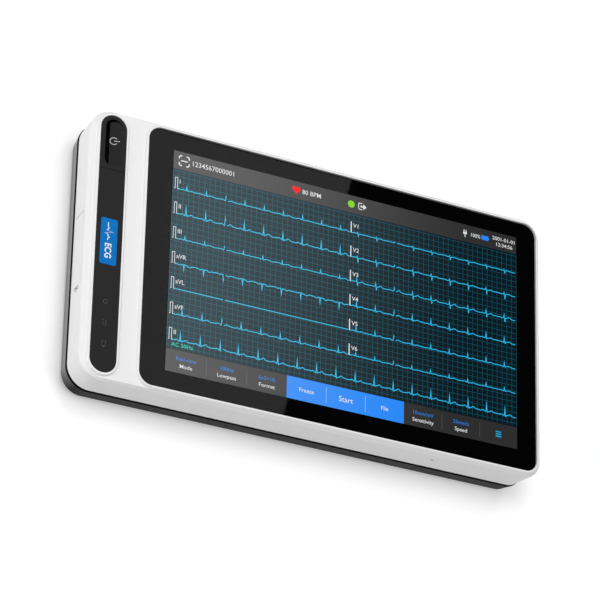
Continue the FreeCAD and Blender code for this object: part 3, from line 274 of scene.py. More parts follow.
# ---------------------------------------------------------------- ports in the back and side walls
# Bought-in sockets soldered to the board edge: power, host and network sockets at the back, a small
# data socket and a card slot behind the flap.  The shells are bright tinned steel, the bodies and
# tongues glass-filled black plastic, the contacts gold-plated.
port_metal = metal("tinned_socket", (0.7, 0.7, 0.7), 0.2, 0.3 * mm, (1, 1, 3))
dress(port_metal, "usb_a_port", "usb_c_port", "card_slot")
dress(port_black, "dc_jack", "lan_port", "port_tongues")
dress(gold, "port_contacts")


# ---------------------------------------------------------------- patient cable port
# Fifteen-way D-shaped socket for the patient cable, set in a window of the right wall: a formed
# steel shell on its flange, a black insulator, and two hexagonal jack nuts for the thumbscrews.
dress(port_metal, "patient_port_shell")
dress(port_black, "patient_port_body")
dress(screw_steel, "patient_port_nuts")


# ---------------------------------------------------------------- parting seal
# Dull black elastomer ring squeezed between the two housings; it fills the dark line round the case.
dress(moulded("seal_elastomer", (0.008, 0.008, 0.008), 0.8, 0.2 * mm, 0.01 * mm, specular=0.25),
      "parting_seal")


# ---------------------------------------------------------------- front housing
# The white upper half of the case, moulded in PC/ABS with a bevel round the glass and two raised
# lips.  Pigment is even, the skin is a soft satin, and its gloss varies in soft patches.
white_plastic = moulded("white_satin_plastic", (0.8, 0.8, 0.8), 0.42, 0.45 * mm, 0.004 * mm,
                        uneven=0.008)
dress(white_plastic, "front_housing")


# ---------------------------------------------------------------- microphone
# A tin can of a microphone in a black rubber boot, sealed to the slot in the front wall, and a
# dark oval laid over the slot on the wall as painted shade of its hollow.
dress(moulded("boot_rubber", (0.012, 0.012, 0.012), 0.75, 0.25 * mm, 0.01 * mm, specular=0.3), "mic_boot")
dress(metal("microphone_can", (0.66, 0.66, 0.64), 0.3, 0.2 * mm), "microphone")

boot_low, boot_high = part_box("mic_boot")
boot_middle = (boot_low + boot_high) / 2
shell_tree = BVHTree.FromObject(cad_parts["front_housing"], bpy.context.evaluated_depsgraph_get())
aside = Vector((3 * mm, 0, 0))
before_wall = Vector((boot_middle.x, cad_low.y - 10 * mm, boot_middle.z)) + aside
wall_point, wall_normal = shell_tree.ray_cast(before_wall, Vector((0, 1, 0)))[:2]
# dark oval on the outer wall over the slot: painted shade of the slot's hollow
slot_shade_r = 0.5 * mm
slot_shade = bmesh.new()
bmesh.ops.create_cone(slot_shade, cap_ends=True, segments=24, radius1=slot_shade_r, radius2=slot_shade_r,
                      depth=0.04 * mm, matrix=Matrix.Diagonal((2, 1, 1, 1)))
slot_shade_mesh = bpy.data.meshes.new("mic_slot_shade")
slot_shade.to_mesh(slot_shade_mesh)
slot_shade.free()
slot_shade_turn = wall_normal.to_track_quat("Z", "Y").to_matrix().to_4x4()
slot_shade_mesh.transform(Matrix.Translation(wall_point - aside) @ slot_shade_turn)
slot_shade_mesh.materials.append(moulded("painted_slot_shade", (0.02, 0.02, 0.02), 0.9, 0.1 * mm, 0.01 * mm,
                                    specular=0.1))
mic_slot_shade = bpy.data.objects.new("mic_slot_shade", slot_shade_mesh)
bpy.context.scene.collection.objects.link(mic_slot_shade)
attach(mic_slot_shade, "main")


# ---------------------------------------------------------------- display module
# A steel tray holds the backlight's white diffuser and the display panel.  The lit picture fills
# the panel but for its sealed edge: a blue-black ground, paler towards the strip by a painted sheen.
dress(metal("zinc_plated_tray", (0.6, 0.61, 0.62), 0.32, 0.4 * mm, (1, 5, 1)), "display_tray")
diffuser = Finish("opal_diffuser", {"Emission Strength": 0.4})
pearl = diffuser.noise(0.8 * mm, 2.0)
diffuser.feed({"Base Color": diffuser.mix(pearl, (0.8, 0.81, 0.82), (0.9, 0.9, 0.9)),
               "Roughness": 0.5 + pearl * 0.1, "Emission Color": (0.9, 0.95, 1.0)})
dress(diffuser.material, "backlight")

panel_low, panel_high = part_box("display_panel")
panel_edge = 2.5 * mm
picture_shift = Vector((0.5 * mm, -0.25 * mm, 0))
# the picture is not quite square to its glass: it rises this much for each unit along
picture_rise = 0.0057
picture_x0 = panel_low.x + panel_edge + picture_shift.x
picture_x1 = panel_high.x - panel_edge + picture_shift.x
picture_y1 = panel_high.y - panel_edge + picture_shift.y
picture_width = picture_x1 - picture_x0
picture_height = panel_high.y - panel_low.y - 2 * panel_edge + picture_shift.y


def painted_sheen_falloff(x, y):
    """Falloff of the painted sheen: 0 beside the strip, where it is strongest, and 1 at the picture's far
    end.
    """
    return ((x - picture_x0) - (y - picture_y1) * 0.2).between(0.0, picture_width * 0.95)


def lit(name, near_with_sheen, far):
    """Light of the picture under a painted sheen: the first colour is the one beside the strip, brightened
    by the painted sheen, the second the one at the other end.
    """
    finish = Finish(name, {"Base Color": (0.0, 0.0, 0.0), "Specular IOR Level": 0.0,
                           "Emission Strength": 1.0})
    sheen_falloff = painted_sheen_falloff(finish.axis("X"), finish.axis("Y"))
    dots = finish.noise(0.6 * mm, 1.0)
    finish.feed({"Emission Color": finish.mix(sheen_falloff, near_with_sheen, far), "Roughness": 0.3 + dots * 0.1})
    return finish.material


ground = Finish("picture_ground", {"Base Color": (0.002, 0.002, 0.002), "Specular IOR Level": 0.0,
                                   "Emission Strength": 1.0})
across = ground.axis("X")
up = ground.axis("Y") - (across - picture_x0) * picture_rise
# painted sheen: the ground's glow is made paler beside the strip
sheen_falloff = painted_sheen_falloff(across, up)
lit_part = across.over(picture_x0) * (1 - across.over(picture_x1)) * (1 - up.over(picture_y1))
lit_part = lit_part * up.over(picture_y1 - picture_height)
glow_with_sheen = ground.mix(sheen_falloff, (0.062, 0.088, 0.1), (0.0016, 0.0085, 0.0125))
ground.feed({"Emission Color": ground.mix(lit_part, (0.0, 0.0, 0.0), glow_with_sheen),
             "Roughness": 0.4 + ground.noise(0.6 * mm, 1.0) * 0.1})
dress(ground.material, "display_panel")


# ---------------------------------------------------------------- picture on the display
# What the machine shows while it records: a status bar, twelve leads in two columns on a measuring
# grid with a rhythm lead under them, and a bar of soft keys.  Each colour is one thin lit layer,
# brighter beside the strip by a painted sheen.
class Layer:
    """Thin marks of one colour, drawn in millimetres on a flat sheet and then put in place."""

    def __init__(self, name, thick):
        self.name = name
        self.thick = thick
        self.marks = bmesh.new()

    def curve(self, kind):
        curve = bpy.data.curves.new(self.name, kind)
        holder = bpy.data.objects.new(self.name, curve)
        return curve, holder

    def take_curve(self, curve, holder, transform):
        mesh = bpy.data.meshes.new_from_object(holder)
        bpy.data.objects.remove(holder)
        bpy.data.curves.remove(curve)
        mesh.transform(transform)
        self.marks.from_mesh(mesh)
        bpy.data.meshes.remove(mesh)

    def line(self, points, width, closed=False):
        """Stroke of that width through the points."""
        curve, holder = self.curve("CURVE")
        curve.dimensions = "3D"
        curve.bevel_depth = width / 2
        curve.bevel_resolution = 1
        curve.use_fill_caps = True
        stroke = curve.splines.new("POLY")
        stroke.points.add(len(points) - 1)
        stroke.use_cyclic_u = closed
        for knot, (x, y) in zip(stroke.points, points):
            knot.co = (x, y, 0.0, 1.0)
        flat = Matrix.Diagonal((1, 1, self.thick / width, 1))
        self.take_curve(curve, holder, Matrix.Translation((0, 0, self.thick / 2)) @ flat)

    def words(self, text, x, y, height, align="CENTER", heavy=0.012, wide=1.0):
        """Lettering whose capitals are that high, standing on y."""
        curve, holder = self.curve("FONT")
        curve.body = text
        curve.align_x = align
        curve.size = height / 0.73
        curve.offset = heavy
        curve.extrude = self.thick / 2
        curve.resolution_u = 3
        self.take_curve(curve, holder, Matrix.Translation((x, y, self.thick / 2))
                        @ Matrix.Diagonal((wide, 1, 1, 1)))

    def bar(self, x0, x1, y0, y1):
        middle = Matrix.Translation(((x0 + x1) / 2, (y0 + y1) / 2, self.thick / 2))
        bmesh.ops.create_cube(self.marks, size=1.0,
                              matrix=middle @ Matrix.Diagonal((x1 - x0, y1 - y0, self.thick, 1)))

    def patch(self, points):
        """Filled shape with that outline, counter-clockwise."""
        face = self.marks.faces.new([self.marks.verts.new((x, y, 0.0)) for x, y in points])
        face.normal_flip()
        risen = bmesh.ops.extrude_face_region(self.marks, geom=[face])["geom"]
        top = [part for part in risen if isinstance(part, bmesh.types.BMVert)]
        bmesh.ops.translate(self.marks, verts=top, vec=(0, 0, self.thick))

    def disc(self, x, y, r):
        self.patch([(x + r * math.cos(a), y + r * math.sin(a)) for a in turns(24)])

    def finished(self, place, material, body):
        """Makes the layer one piece that rides on a body."""
        bmesh.ops.recalc_face_normals(self.marks, faces=self.marks.faces)
        mesh = bpy.data.meshes.new(self.name)
        self.marks.to_mesh(mesh)
        self.marks.free()
        mesh.transform(place @ Matrix.Scale(mm, 4))
        mesh.materials.append(material)
        piece = bpy.data.objects.new(self.name, mesh)
        bpy.context.scene.collection.objects.link(piece)
        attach(piece, body)
        return piece


def turns(count, start=0.0, stop=2 * math.pi):
    """Angles from start up to stop, without the last one."""
    return [start + (stop - start) * index / count for index in range(count)]


def arc(x, y, r, start, stop, count=10):
    """Points round a centre from one angle to another, both in degrees."""
    return [(x + r * math.cos(a), y + r * math.sin(a))
            for a in turns(count, math.radians(start), math.radians(stop))] + [
        (x + r * math.cos(math.radians(stop)), y + r * math.sin(math.radians(stop)))]


wide = picture_width / mm
high = picture_height / mm
ink = 0.015
bar_h = 10.6
key_h = 12.9
grid_top = bar_h + 0.65
grid_low = high - key_h - 0.65
lead_first = 22.4
lead_step = 14.7
column_shift = 105.6


def picture_sheet(level):
    """Sheet over the panel with its origin at the picture's top left corner, level in millimetres."""
    risen = Matrix(((1, 0, 0, 0), (picture_rise, 1, 0, 0), (0, 0, 1, 0), (0, 0, 0, 1)))
    return Matrix.Translation((picture_x0, picture_y1, panel_high.z + level * mm)) @ risen


# the first colour of each lit layer is brightened by the painted sheen beside the strip
bars = Layer("screen_bars", ink)
bars.bar(0, wide, -bar_h, 0)
bars.bar(0, wide, -high, -(high - key_h))
bars.finished(picture_sheet(0.01), lit("bar_grey", (0.137, 0.137, 0.137), (0.028, 0.028, 0.029)),
              "main")

grid = Layer("screen_grid", ink)
grid_pitch = 3.19
line_w = 0.3
for column in range(int(wide / grid_pitch) + 1):
    grid.bar(column * grid_pitch, column * grid_pitch + line_w, -grid_low, -grid_top)
for row in range(int((grid_low - grid_top) / grid_pitch) + 1):
    level = grid_top + 0.45 + row * grid_pitch
    grid.bar(0, wide, -level - line_w, -level)
grid.finished(picture_sheet(0.01), lit("grid_teal", (0.064, 0.178, 0.22), (0.006, 0.075, 0.115)),
              "main")

keys = Layer("screen_blue_keys", ink)
key_w = wide / 9
keys.bar(3 * key_w, 6 * key_w, -high, -(high - key_h))
keys.finished(picture_sheet(0.03), lit("key_blue", (0.12, 0.37, 0.98), (0.015, 0.25, 0.96)),
              "main")


# each lead's own shape: height of the P, Q, R, S and T waves in millimetres on the sheet
lead_shapes = {"I": (0.25, -0.2, 3.4, -0.4, 0.3), "II": (0.5, -0.5, 6.1, -0.8, 0.95),
               "III": (0.25, -0.2, 2.7, -0.4, 0.3), "aVR": (-0.4, 0.3, -4.8, 0.3, -0.7),
               "aVL": (0.0, 0.0, 0.0, 0.0, 0.0), "aVF": (0.35, -0.3, 4.4, -0.6, 0.6),
               "V1": (0.1, 0.1, 1.0, -2.1, 0.1), "V2": (0.15, 0.2, 1.7, -3.4, 0.5),
               "V3": (0.3, 0.3, 3.2, -2.6, 0.95), "V4": (0.3, -0.2, 4.0, -0.9, 0.7),
               "V5": (0.3, -0.2, 3.6, -0.4, 0.5), "V6": (0.25, -0.1, 2.8, -0.2, 0.35)}
wave_places = (-2.3, -0.55, 0.0, 0.5, 3.3)
wave_widths = (0.7, 0.2, 0.17, 0.2, 0.95)


def lead_height(shape, offset):
    """Height of the trace at an offset along it from the top of a beat."""
    return sum(tall * math.exp(-((offset - place) / width) ** 2)
               for tall, place, width in zip(shape, wave_places, wave_widths))


def sweep(shape, level, start, stop, first_beat, step):
    """Points of one stretch of trace with beats every step."""
    fine = [-4.2, -3.1, -2.7, -2.3, -1.9, -1.5, -0.9, -0.6, -0.35, -0.2, 0.0, 0.2, 0.4, 0.6, 0.9, 1.6,
            2.2, 2.7, 3.1, 3.5, 3.9, 4.4, 5.2, 6.2]
    beats = [first_beat + index * step for index in range(-1, int((stop - first_beat) / step) + 2)]
    places = [start, stop] + [beat + offset for beat in beats for offset in fine]
    points = []
    for x in sorted(set(place for place in places if start <= place <= stop)):
        nearest = min(beats, key=lambda beat: abs(x - beat - 1.0))
        drift = 0.12 * math.sin(x * 0.9) + 0.06 * math.sin(x * 2.3)
        calm = 0.0 if shape[2] == 0.0 else drift
        points.append((x, level + lead_height(shape, x - nearest) + calm))
    return points


traces = Layer("screen_traces", ink)
whites = Layer("screen_white_marks", ink)
trace_w = 0.5
beat_step = 11.9
first_beat = 8.55
old_beat = 43.9
rhythm_first_beat = 8.1
rhythm_old_beat = 42.7
gap_start = 32.5
gap_end = 33.6
trace_start = 3.4
trace_end = wide - 0.9
middle_start = 110.4
middle_end = 109.3
pulse_h = 6.5
pulse_w = 0.5
pulse_x = 1.5
pulse_end = 2.9
word_h = 2.6


def calibration(level):
    """Points of the square pulse that stands before a lead."""
    return [(1.0, level), (pulse_x, level), (pulse_x, level + pulse_h), (pulse_end, level + pulse_h),
            (pulse_end, level), (trace_start, level)]


columns = (("I", "II", "III", "aVR", "aVL", "aVF"), ("V1", "V2", "V3", "V4", "V5", "V6"))
for column, names in enumerate(columns):
    shift = column * column_shift
    begin = trace_start if column == 0 else middle_start
    end = middle_end if column == 0 else trace_end
    for row, lead in enumerate(names):
        level = -(lead_first + row * lead_step)
        shape = lead_shapes[lead]
        traces.line(sweep(shape, level, begin, shift + gap_start, shift + first_beat, beat_step), trace_w)
        traces.line(sweep(shape, level, shift + gap_end, end, shift + old_beat, beat_step), trace_w)
        if column == 0:
            whites.line(calibration(level), pulse_w)
            whites.words(lead, trace_start + 0.5, level + 3.2, word_h, "LEFT")
        else:
            whites.bar(middle_start - 0.65, middle_start, level - 0.2, level + pulse_h)
            whites.words(lead, middle_start + 0.9, level + 3.1, word_h, "LEFT")
rhythm = -(lead_first + 6 * lead_step)
traces.line(sweep(lead_shapes["II"], rhythm, trace_start, gap_start, rhythm_first_beat, beat_step), trace_w)
traces.line(sweep(lead_shapes["II"], rhythm, gap_end, trace_end, rhythm_old_beat, beat_step), trace_w)
traces.finished(picture_sheet(0.035), lit("trace_blue", (0.105, 0.61, 0.88), (0.025, 0.5, 0.84)),
                "main")

whites.line(calibration(rhythm), pulse_w)
whites.words("II", trace_start + 0.5, rhythm + 3.2, word_h, "LEFT")
bar_mid = -bar_h / 2
frame_mid = 6.35
for sx in (-1, 1):
    for sy in (-1, 1):
        corner = [(frame_mid + sx * 3.0, bar_mid + sy * 1.1), (frame_mid + sx * 3.0, bar_mid + sy * 2.2),
                  (frame_mid + sx * 2.3, bar_mid + sy * 2.9), (frame_mid + sx * 1.3, bar_mid + sy * 2.9)]
        whites.line(corner, 0.75)
whites.bar(frame_mid - 2.0, frame_mid + 2.0, bar_mid - 0.35, bar_mid + 0.35)
whites.words("1234567000001", 10.8, bar_mid - 1.5, 3.0, "LEFT")
whites.words("80 BPM", 78.9, bar_mid - 1.4, 2.8, "LEFT")
exit_x = 114.2
whites.line([(exit_x + 2.7, bar_mid + 1.9), (exit_x + 0.9, bar_mid + 1.9), (exit_x + 0.3, bar_mid + 1.3),
             (exit_x + 0.3, bar_mid - 1.3), (exit_x + 0.9, bar_mid - 1.9), (exit_x + 2.7, bar_mid - 1.9)],
            0.5)
whites.patch([(exit_x + 1.5, bar_mid - 0.5), (exit_x + 3.3, bar_mid - 0.5), (exit_x + 3.3, bar_mid - 1.7),
              (exit_x + 5.4, bar_mid), (exit_x + 3.3, bar_mid + 1.7), (exit_x + 3.3, bar_mid + 0.5),
              (exit_x + 1.5, bar_mid + 0.5)])
plug_x = 183.3
whites.line([(plug_x, bar_mid - 2.4), (plug_x, bar_mid + 0.2)], 0.5)
whites.bar(plug_x - 1.2, plug_x + 1.2, bar_mid - 0.6, bar_mid + 0.7)
whites.bar(plug_x - 0.9, plug_x - 0.4, bar_mid + 0.7, bar_mid + 2.1)
whites.bar(plug_x + 0.4, plug_x + 0.9, bar_mid + 0.7, bar_mid + 2.1)
whites.words("100%", 186.7, bar_mid - 1.15, 2.3, "LEFT", wide=0.98)
whites.words("2001-01-01", wide - 8.2, bar_mid + 0.55, 2.3, wide=1.05)
whites.words("12:34:56", wide - 8.2, bar_mid - 3.0, 2.3, wide=1.05)
key_low = -high
key_words = ((0, "Real-time", "Mode"), (1, "100Hz", "Lowpass"), (2, "6x2+1R", "Format"),
             (6, "10mm/mV", "Sensitivity"), (7, "25mm/s", "Speed"))
for index, value, label in key_words:
    whites.words(label, (index + 0.5) * key_w, key_low + 3.1, 2.3, wide=1.06)
for index, label, tall in ((3, "Freeze", 2.5), (4, "Start", 3.3), (5, "File", 2.5)):
    whites.words(label, (index + 0.5) * key_w, key_low + 6.5 - tall / 2, tall)
whites.finished(picture_sheet(0.05), lit("mark_white", (0.84, 0.84, 0.84), (0.78, 0.79, 0.79)),
                "main")

rules = Layer("screen_key_rules", ink)
for index in (1, 2, 7, 8):
    rules.bar(index * key_w - 0.14, index * key_w + 0.14, key_low + 2.0, key_low + 10.9)
rules.finished(picture_sheet(0.03), lit("rule_grey", (0.21, 0.21, 0.21), (0.085, 0.085, 0.085)),
               "main")
blue_rules = Layer("screen_blue_rules", ink)
for index in (4, 5):
    blue_rules.bar(index * key_w - 0.14, index * key_w + 0.14, key_low + 2.0, key_low + 10.9)
blue_rules.finished(picture_sheet(0.05), lit("rule_pale_blue", (0.42, 0.62, 1.0), (0.36, 0.58, 1.0)),
                    "main")

values = Layer("screen_values", ink)
for index, value, label in key_words:
    values.words(value, (index + 0.5) * key_w, key_low + 7.3, 2.2, wide=1.06)
values.finished(picture_sheet(0.03), lit("value_blue", (0.09, 0.3, 0.74), (0.03, 0.2, 0.68)),
                "main")

menu = Layer("screen_menu_mark", ink)
for row in (-1, 0, 1):
    menu.bar(8.5 * key_w - 1.75, 8.5 * key_w + 1.75, key_low + 6.5 + row * 1.35 - 0.33,
             key_low + 6.5 + row * 1.35 + 0.33)
menu.finished(picture_sheet(0.03), lit("menu_cyan", (0.03, 0.5, 0.8), (0.012, 0.42, 0.72)),
              "main")

filter_words = Layer("screen_filter_words", ink)
filter_words.words("AC 50Hz", 3.0, -(grid_low - 1.3), 2.3, "LEFT", wide=1.07)
filter_words.finished(picture_sheet(0.05), lit("filter_green", (0.06, 0.72, 0.48), (0.03, 0.62, 0.4)),
                      "main")

heart = Layer("screen_heart", ink)
heart_w = 5.3
heart_x = 75.3
heart_y = bar_mid + 0.25


def heart_point(t):
    """Point of the well-known heart curve, which is 32 units wide, at the angle t."""
    across = 16 * math.sin(t) ** 3
    up = 13 * math.cos(t) - 5 * math.cos(2 * t) - 2 * math.cos(3 * t) - math.cos(4 * t)
    return heart_x + across * heart_w / 32, heart_y + up * heart_w / 32


heart.patch([heart_point(t) for t in reversed(turns(36))])
heart.finished(picture_sheet(0.03), lit("heart_red", (1.0, 0.036, 0.04), (1.0, 0.03, 0.03)),
               "main")

dot = Layer("screen_ready_dot", ink)
dot.disc(109.9, bar_mid, 2.15)
dot.finished(picture_sheet(0.03), lit("dot_green", (0.26, 0.72, 0.045), (0.25, 0.7, 0.04)),
             "main")

charge = Layer("screen_charge", ink)
charge_x = 194.2
charge_w = 4.4
charge.bar(charge_x, charge_x + charge_w, bar_mid - 1.35, bar_mid + 1.35)
charge.bar(charge_x + charge_w, charge_x + charge_w + 0.6, bar_mid - 0.6, bar_mid + 0.6)
charge.finished(picture_sheet(0.03), lit("charge_blue", (0.05, 0.3, 1.0), (0.02, 0.25, 0.95)),
                "main")


# ---------------------------------------------------------------- cover glass
# Toughened glass with a black ceramic print on its back, stuck to the housing's ledge with foam
# tape.  It has an anti-reflection coat, so the little sheen there is comes from the print.
glass = Finish("coated_glass", {"Base Color": (0.01, 0.012, 0.012), "Specular IOR Level": 0.0,
                                "Alpha": 0.02})
glass.feed({"Roughness": 0.015 + glass.noise(12 * mm) * 0.01})
dress(glass.material, "cover_glass")


def gloss_black(name, shade, roughness):
    """Glossy black that shows little but the brightest lamp."""
    finish = Finish(name, {"Specular IOR Level": 0.05})
    speck = finish.noise(1.5 * mm, 3.0)
    finish.feed({"Base Color": finish.mix(speck, (shade, shade, shade), tinted((shade, shade, shade), 1.5)),
                 "Roughness": roughness + speck * 0.01})
    return finish.material


print_black = gloss_black("ceramic_print", 0.0003, 0.015)
dress(print_black, "glass_border")
border = bmesh.new()
border.from_mesh(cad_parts["glass_border"].data)
bmesh.ops.remove_doubles(border, verts=border.verts, dist=0.001 * mm)
border_low, border_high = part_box("glass_border")
upper = [vertex for vertex in border.verts if vertex.co.z > (border_low.z + border_high.z) / 2]
bmesh.ops.translate(border, verts=upper, vec=(0, 0, -0.03 * mm))
narrowest = 9.9 * mm
window = [vertex for vertex in border.verts
          if border_low.x + narrowest < vertex.co.x < border_high.x - narrowest
          and border_low.y + narrowest < vertex.co.y < border_high.y - narrowest]
far_edge = [vertex for vertex in window if vertex.co.y > (border_low.y + border_high.y) / 2]
bmesh.ops.translate(border, verts=window, vec=(picture_shift.x, 0, 0))
bmesh.ops.translate(border, verts=far_edge, vec=(0, picture_shift.y, 0))
for vertex in window:
    vertex.co.y += (vertex.co.x - picture_x0) * picture_rise
border_mesh = bpy.data.meshes.new("printed_border")
border.to_mesh(border_mesh)
border.free()
border_mesh.materials.append(print_black)
printed_border = bpy.data.objects.new("printed_border", border_mesh)
bpy.context.scene.collection.objects.link(printed_border)
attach(printed_border, "main")
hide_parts("glass_border")
dress(moulded("foam_tape", (0.02, 0.02, 0.02), 0.85, 0.3 * mm, 0.02 * mm, specular=0.2), "glass_tape")


# ---------------------------------------------------------------- strip panel
# Dark glossy strip let into the white deck, with a seat for the badge and three tiny marks over the
# lamps: power, mains supply and battery.  The marks are printed in grey and hardly show unlit.
strip_black = gloss_black("strip_gloss_black", 0.001, 0.05)
dress(strip_black, "strip_panel")
strip_low, strip_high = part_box("strip_panel")
lamps_low, lamps_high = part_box("status_lamps")
strip_mid = (strip_low.x + strip_high.x) / 2


def strip_sheet(y, z):
    """Sheet on the strip whose lines read from its back end to its front, tops to the glass."""
    turned = Matrix(((0, 1, 0, 0), (-1, 0, 0, 0), (0, 0, 1, 0), (0, 0, 0, 1)))
    return Matrix.Translation((strip_mid, y, z)) @ turned


marks = Layer("strip_lamp_marks", 0.02)
lamp_span = (lamps_high.y - lamps_low.y - 1.25 * mm) / mm
near_lamp = -lamp_span / 2
mark_w = 0.32
marks.line(arc(near_lamp, 0, 1.25, 130, 410), mark_w)
marks.line([(near_lamp, 0.3), (near_lamp, 1.6)], mark_w)
marks.line([(-1.7, 0.75), (1.7, 0.75)], mark_w)
for dash in (-1.4, 0.0, 1.4):
    marks.line([(dash - 0.35, -0.75), (dash + 0.35, -0.75)], mark_w)
far_lamp = lamp_span / 2
marks.line([(far_lamp - 1.7, -1.0), (far_lamp + 1.3, -1.0), (far_lamp + 1.3, 1.0), (far_lamp - 1.7, 1.0)],
           mark_w, closed=True)
marks.line([(far_lamp + 1.75, -0.45), (far_lamp + 1.75, 0.45)], mark_w)
grey_print = moulded("grey_print", (0.055, 0.055, 0.056), 0.4, 0.2 * mm, 0.002 * mm)
marks.finished(strip_sheet((lamps_low.y + lamps_high.y) / 2, strip_high.z), grey_print, "main")


# ---------------------------------------------------------------- badge
# Blue anodised plate in the strip's seat, printed in white with the machine's kind and a pulse.
badge = Finish("badge_blue", {"Specular IOR Level": 0.05})
brush = badge.noise(0.4 * mm, 3.0, (1, 0.1, 1))
badge.feed({"Base Color": badge.mix(brush, (0.0, 0.15, 0.47), (0.0, 0.165, 0.52)),
            "Roughness": 0.34 + brush * 0.12})
badge.relief(brush, 0.001 * mm)
dress(badge.material, "badge_plate")
badge_low, badge_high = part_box("badge_plate")
badge_print = Layer("badge_print", 0.02)
badge_print.line([(-11.0, -0.6), (-8.6, -0.6), (-8.0, 0.2), (-7.4, -0.6), (-6.9, -0.6), (-6.4, -1.4),
                  (-5.6, 2.6), (-4.7, -2.3), (-4.1, -0.6), (-3.2, -0.6), (-2.5, 0.5), (-1.8, -0.6),
                  (-0.6, -0.6)], 0.65)
badge_print.words("ECG", 5.4, -2.0, 3.9, wide=0.86, heavy=0.1)
white_print = moulded("white_print", (0.8, 0.8, 0.8), 0.4, 0.2 * mm, 0.002 * mm, uneven=0.02)
badge_print.finished(strip_sheet((badge_low.y + badge_high.y) / 2, badge_high.z), white_print, "main")


# ---------------------------------------------------------------- lamps, pipes and switch
# Under the strip: a narrow board with three lamps, clear rods that lead their light up, and the
# tact switch with its plunger, which the power key presses.
dress(moulded("lamp_resin", (0.62, 0.6, 0.5), 0.3, 0.2 * mm, 0.002 * mm), "status_lamps")
pipe = Finish("clear_acrylic", {"Base Color": (0.8, 0.83, 0.85), "Transmission Weight": 0.6})
pipe.feed({"Roughness": 0.15 + pipe.noise(0.5 * mm) * 0.1})
dress(pipe.material, "light_pipes")
dress(moulded("switch_body", (0.02, 0.02, 0.02), 0.5, 0.2 * mm, 0.004 * mm), "power_switch")
dress(moulded("switch_plunger", (0.55, 0.1, 0.05), 0.45, 0.2 * mm, 0.004 * mm), "switch_plunger")


# ---------------------------------------------------------------- power key
# The back end of the strip is a key with a finger scoop, steep on its outer side and ramped to
# nothing towards the glass.  The power mark is printed in pale grey on the ramp.
dress(strip_black, "power_key")
key_tree = BVHTree.FromObject(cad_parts["power_key"], bpy.context.evaluated_depsgraph_get())
key_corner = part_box("power_key")[1]
power_mark = Layer("power_mark", 0.03)
mark_r = 2.0
mark_stroke = 0.5
power_mark.line(arc(0, 0, mark_r, 130, 410, 28), mark_stroke)
power_mark.line([(0, 0.1 + index * 0.27) for index in range(12)], mark_stroke)
mark_place = Vector((0, 0.8 * mm, 0))
mark_y = key_corner.y - 14.3 * mm
mark = power_mark.finished(strip_sheet(mark_y, 0.0) @ Matrix.Translation(mark_place),
                           moulded("pale_print", (0.5, 0.5, 0.5), 0.4, 0.2 * mm, 0.002 * mm), "key")
for vertex in mark.data.vertices:
    hit = key_tree.ray_cast(Vector((vertex.co.x, vertex.co.y, 1.0)), Vector((0, 0, -1)))[0]
    vertex.co.z += hit.z


# ---------------------------------------------------------------- port flap
# White hinged cover over the card slot and the data socket, of the housing's own plastic, with a
# steel pin.  Two shallow raised marks show what is behind it: a card and a plug.
dress(white_plastic, "port_flap")
dress(screw_steel, "flap_pin")
flap_low, flap_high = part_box("port_flap")
crease_z = 31.94 * mm
wall_depth = 16.6
wall_draft = 1.7
lean = math.atan2(wall_draft, wall_depth)
flap_marks = Layer("flap_marks", 0.1)
line_t = 0.32
rib_t = 0.28
flap_marks.line([(5.0, -2.3), (10.6, -2.3), (10.6, 2.3), (6.4, 2.3), (5.0, 0.9)], line_t, closed=True)
for rib in range(4):
    flap_marks.line([(6.8 + rib * 0.95, 0.6), (6.8 + rib * 0.95, 1.6)], rib_t)
flap_marks.line([(-12.6, 0), (-10.6, 0)], line_t)
flap_marks.line([(-10.6, -1.7), (-7.4, -1.7), (-7.4, 1.7), (-10.6, 1.7)], line_t, closed=True)
flap_marks.line([(-7.4, -0.8), (-5.8, -0.8)], line_t)
flap_marks.line([(-7.4, 0.8), (-5.8, 0.8)], line_t)
flap_middle = (flap_low + flap_high) / 2
outward = Matrix(((0, 0, -1, 0), (-1, 0, 0, 0), (0, 1, 0, 0), (0, 0, 0, 1)))
wall_x = cad_low.x + (crease_z - flap_middle.z) * math.tan(lean)
flap_sheet = (Matrix.Translation((wall_x, flap_middle.y, flap_middle.z))
              @ Matrix.Rotation(-lean, 4, "Y") @ outward)
flap_marks.finished(flap_sheet, white_plastic, "flap")


# ---------------------------------------------------------------- back: door, screws, feet and label
# The battery door is the rear housing's plastic and held by two screws, eight screws join the
# housings, four rubber feet are stuck in their seats, and a silver film label sits in its recess.
dress(black_plastic, "battery_door")
dress(screw_steel, "door_screws", "housing_screws")
dress(moulded("foot_rubber", (0.03, 0.03, 0.031), 0.7, 0.3 * mm, 0.02 * mm, specular=0.3), "rubber_feet")
film = Finish("silver_film", {"Metallic": 0.5})
satin = film.noise(0.3 * mm, 2.0)
film.feed({"Base Color": film.mix(satin, (0.52, 0.53, 0.54), (0.62, 0.62, 0.63)),
           "Roughness": 0.38 + satin * 0.14})
dress(film.material, "rating_label")


# ---------------------------------------------------------------- stage
# A pale bench that gives off some light itself, a soft lamp overhead, weaker ones in front and on
# the strip's side, two cards and the camera.
bench = bpy.data.meshes.new("bench")
sheet = bmesh.new()
bmesh.ops.create_grid(sheet, x_segments=1, y_segments=1, size=4.0)
sheet.to_mesh(bench)
sheet.free()
bench_finish = Finish("pale_bench", {"Specular IOR Level": 0.0, "Roughness": 0.9,
                                     "Emission Color": (1.0, 1.0, 1.0), "Emission Strength": 0.38})
paper = bench_finish.noise(60 * mm, 2.0)
bench_finish.feed({"Base Color": bench_finish.mix(paper, (0.72, 0.72, 0.72), (0.74, 0.74, 0.74))})
bench.materials.append(bench_finish.material)
bench_top = bpy.data.objects.new("bench", bench)
bpy.context.scene.collection.objects.link(bench_top)

target = Vector((-0.0127, -0.0061, 0.0342))


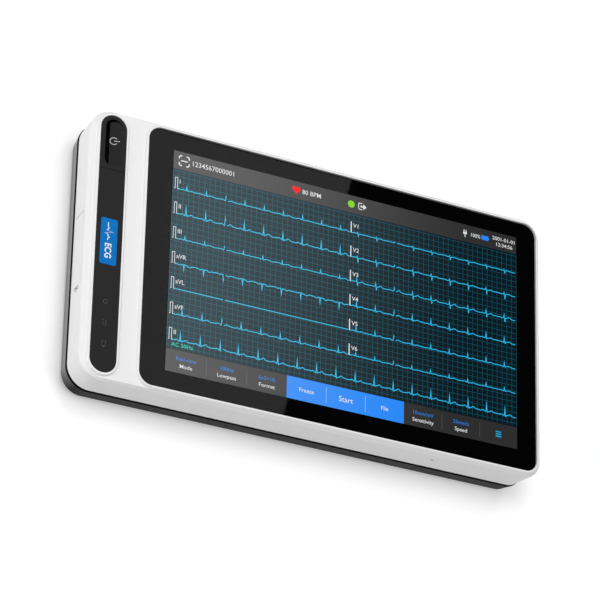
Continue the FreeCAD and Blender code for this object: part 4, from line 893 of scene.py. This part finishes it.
def lamp(name, place, facing, width, depth, power):
    """Rectangular lamp at a place, turned by a quaternion from facing straight down."""
    data = bpy.data.lights.new(name, "AREA")
    data.shape = "RECTANGLE"
    data.size = width
    data.size_y = depth
    data.energy = power
    holder = bpy.data.objects.new(name, data)
    holder.location = place
    holder.rotation_mode = "QUATERNION"
    holder.rotation_quaternion = facing
    bpy.context.scene.collection.objects.link(holder)


lamp_distance = 1.6


def soft_lamp(name, direction, size, power):
    """Square lamp in that direction from the machine, facing it."""
    toward = Vector(direction).normalized()
    lamp(name, target + toward * lamp_distance, (-toward).to_track_quat("-Z", "Y"), size, size, power)


soft_lamp("key_lamp", (-0.2, 0.06, 0.97), 0.8, 13.4)
soft_lamp("front_lamp", (0.3, -0.3, 0.9), 0.8, 6.0)
soft_lamp("side_lamp", (-0.94, 0.0, 0.33), 1.0, 8.5)

# two small bright cards over the far side: the straight edge of the larger one crosses the glass as
# a sheen, and the smaller one lights the ramp of the power key
card_width = 0.35
card_length = 0.55
card_turn = Quaternion((0, 0, 1), math.radians(-14.6))
card_edge = Vector((0.6494, 0.6161, 1.2342))
card_middle = card_edge + card_turn @ Vector((-card_width / 2, 0, 0))
lamp("sheen_card", card_middle, card_turn, card_width, card_length, 3.2)
lamp("key_card", Vector((-0.28, 0.606, 1.2342)), Quaternion(), 0.34, 0.34, 1.95)

world = bpy.data.worlds.new("studio")
world.use_nodes = True
world.node_tree.nodes["Background"].inputs["Color"].default_value = (0.06, 0.06, 0.06, 1.0)
bpy.context.scene.world = world

camera_data = bpy.data.cameras.new("camera")
camera_data.lens = 203.9
camera_data.sensor_width = 36.0
camera = bpy.data.objects.new("camera", camera_data)
sight = Vector((0.4299, 0.4115, -0.8037)).normalized()
camera.location = target - sight * 1.837
camera.rotation_mode = "QUATERNION"
camera.rotation_quaternion = sight.to_track_quat("-Z", "Y") @ Quaternion((0, 0, 1), math.radians(53.8))
bpy.context.scene.collection.objects.link(camera)
bpy.context.scene.camera = camera
bpy.context.scene.view_settings.view_transform = "Standard"
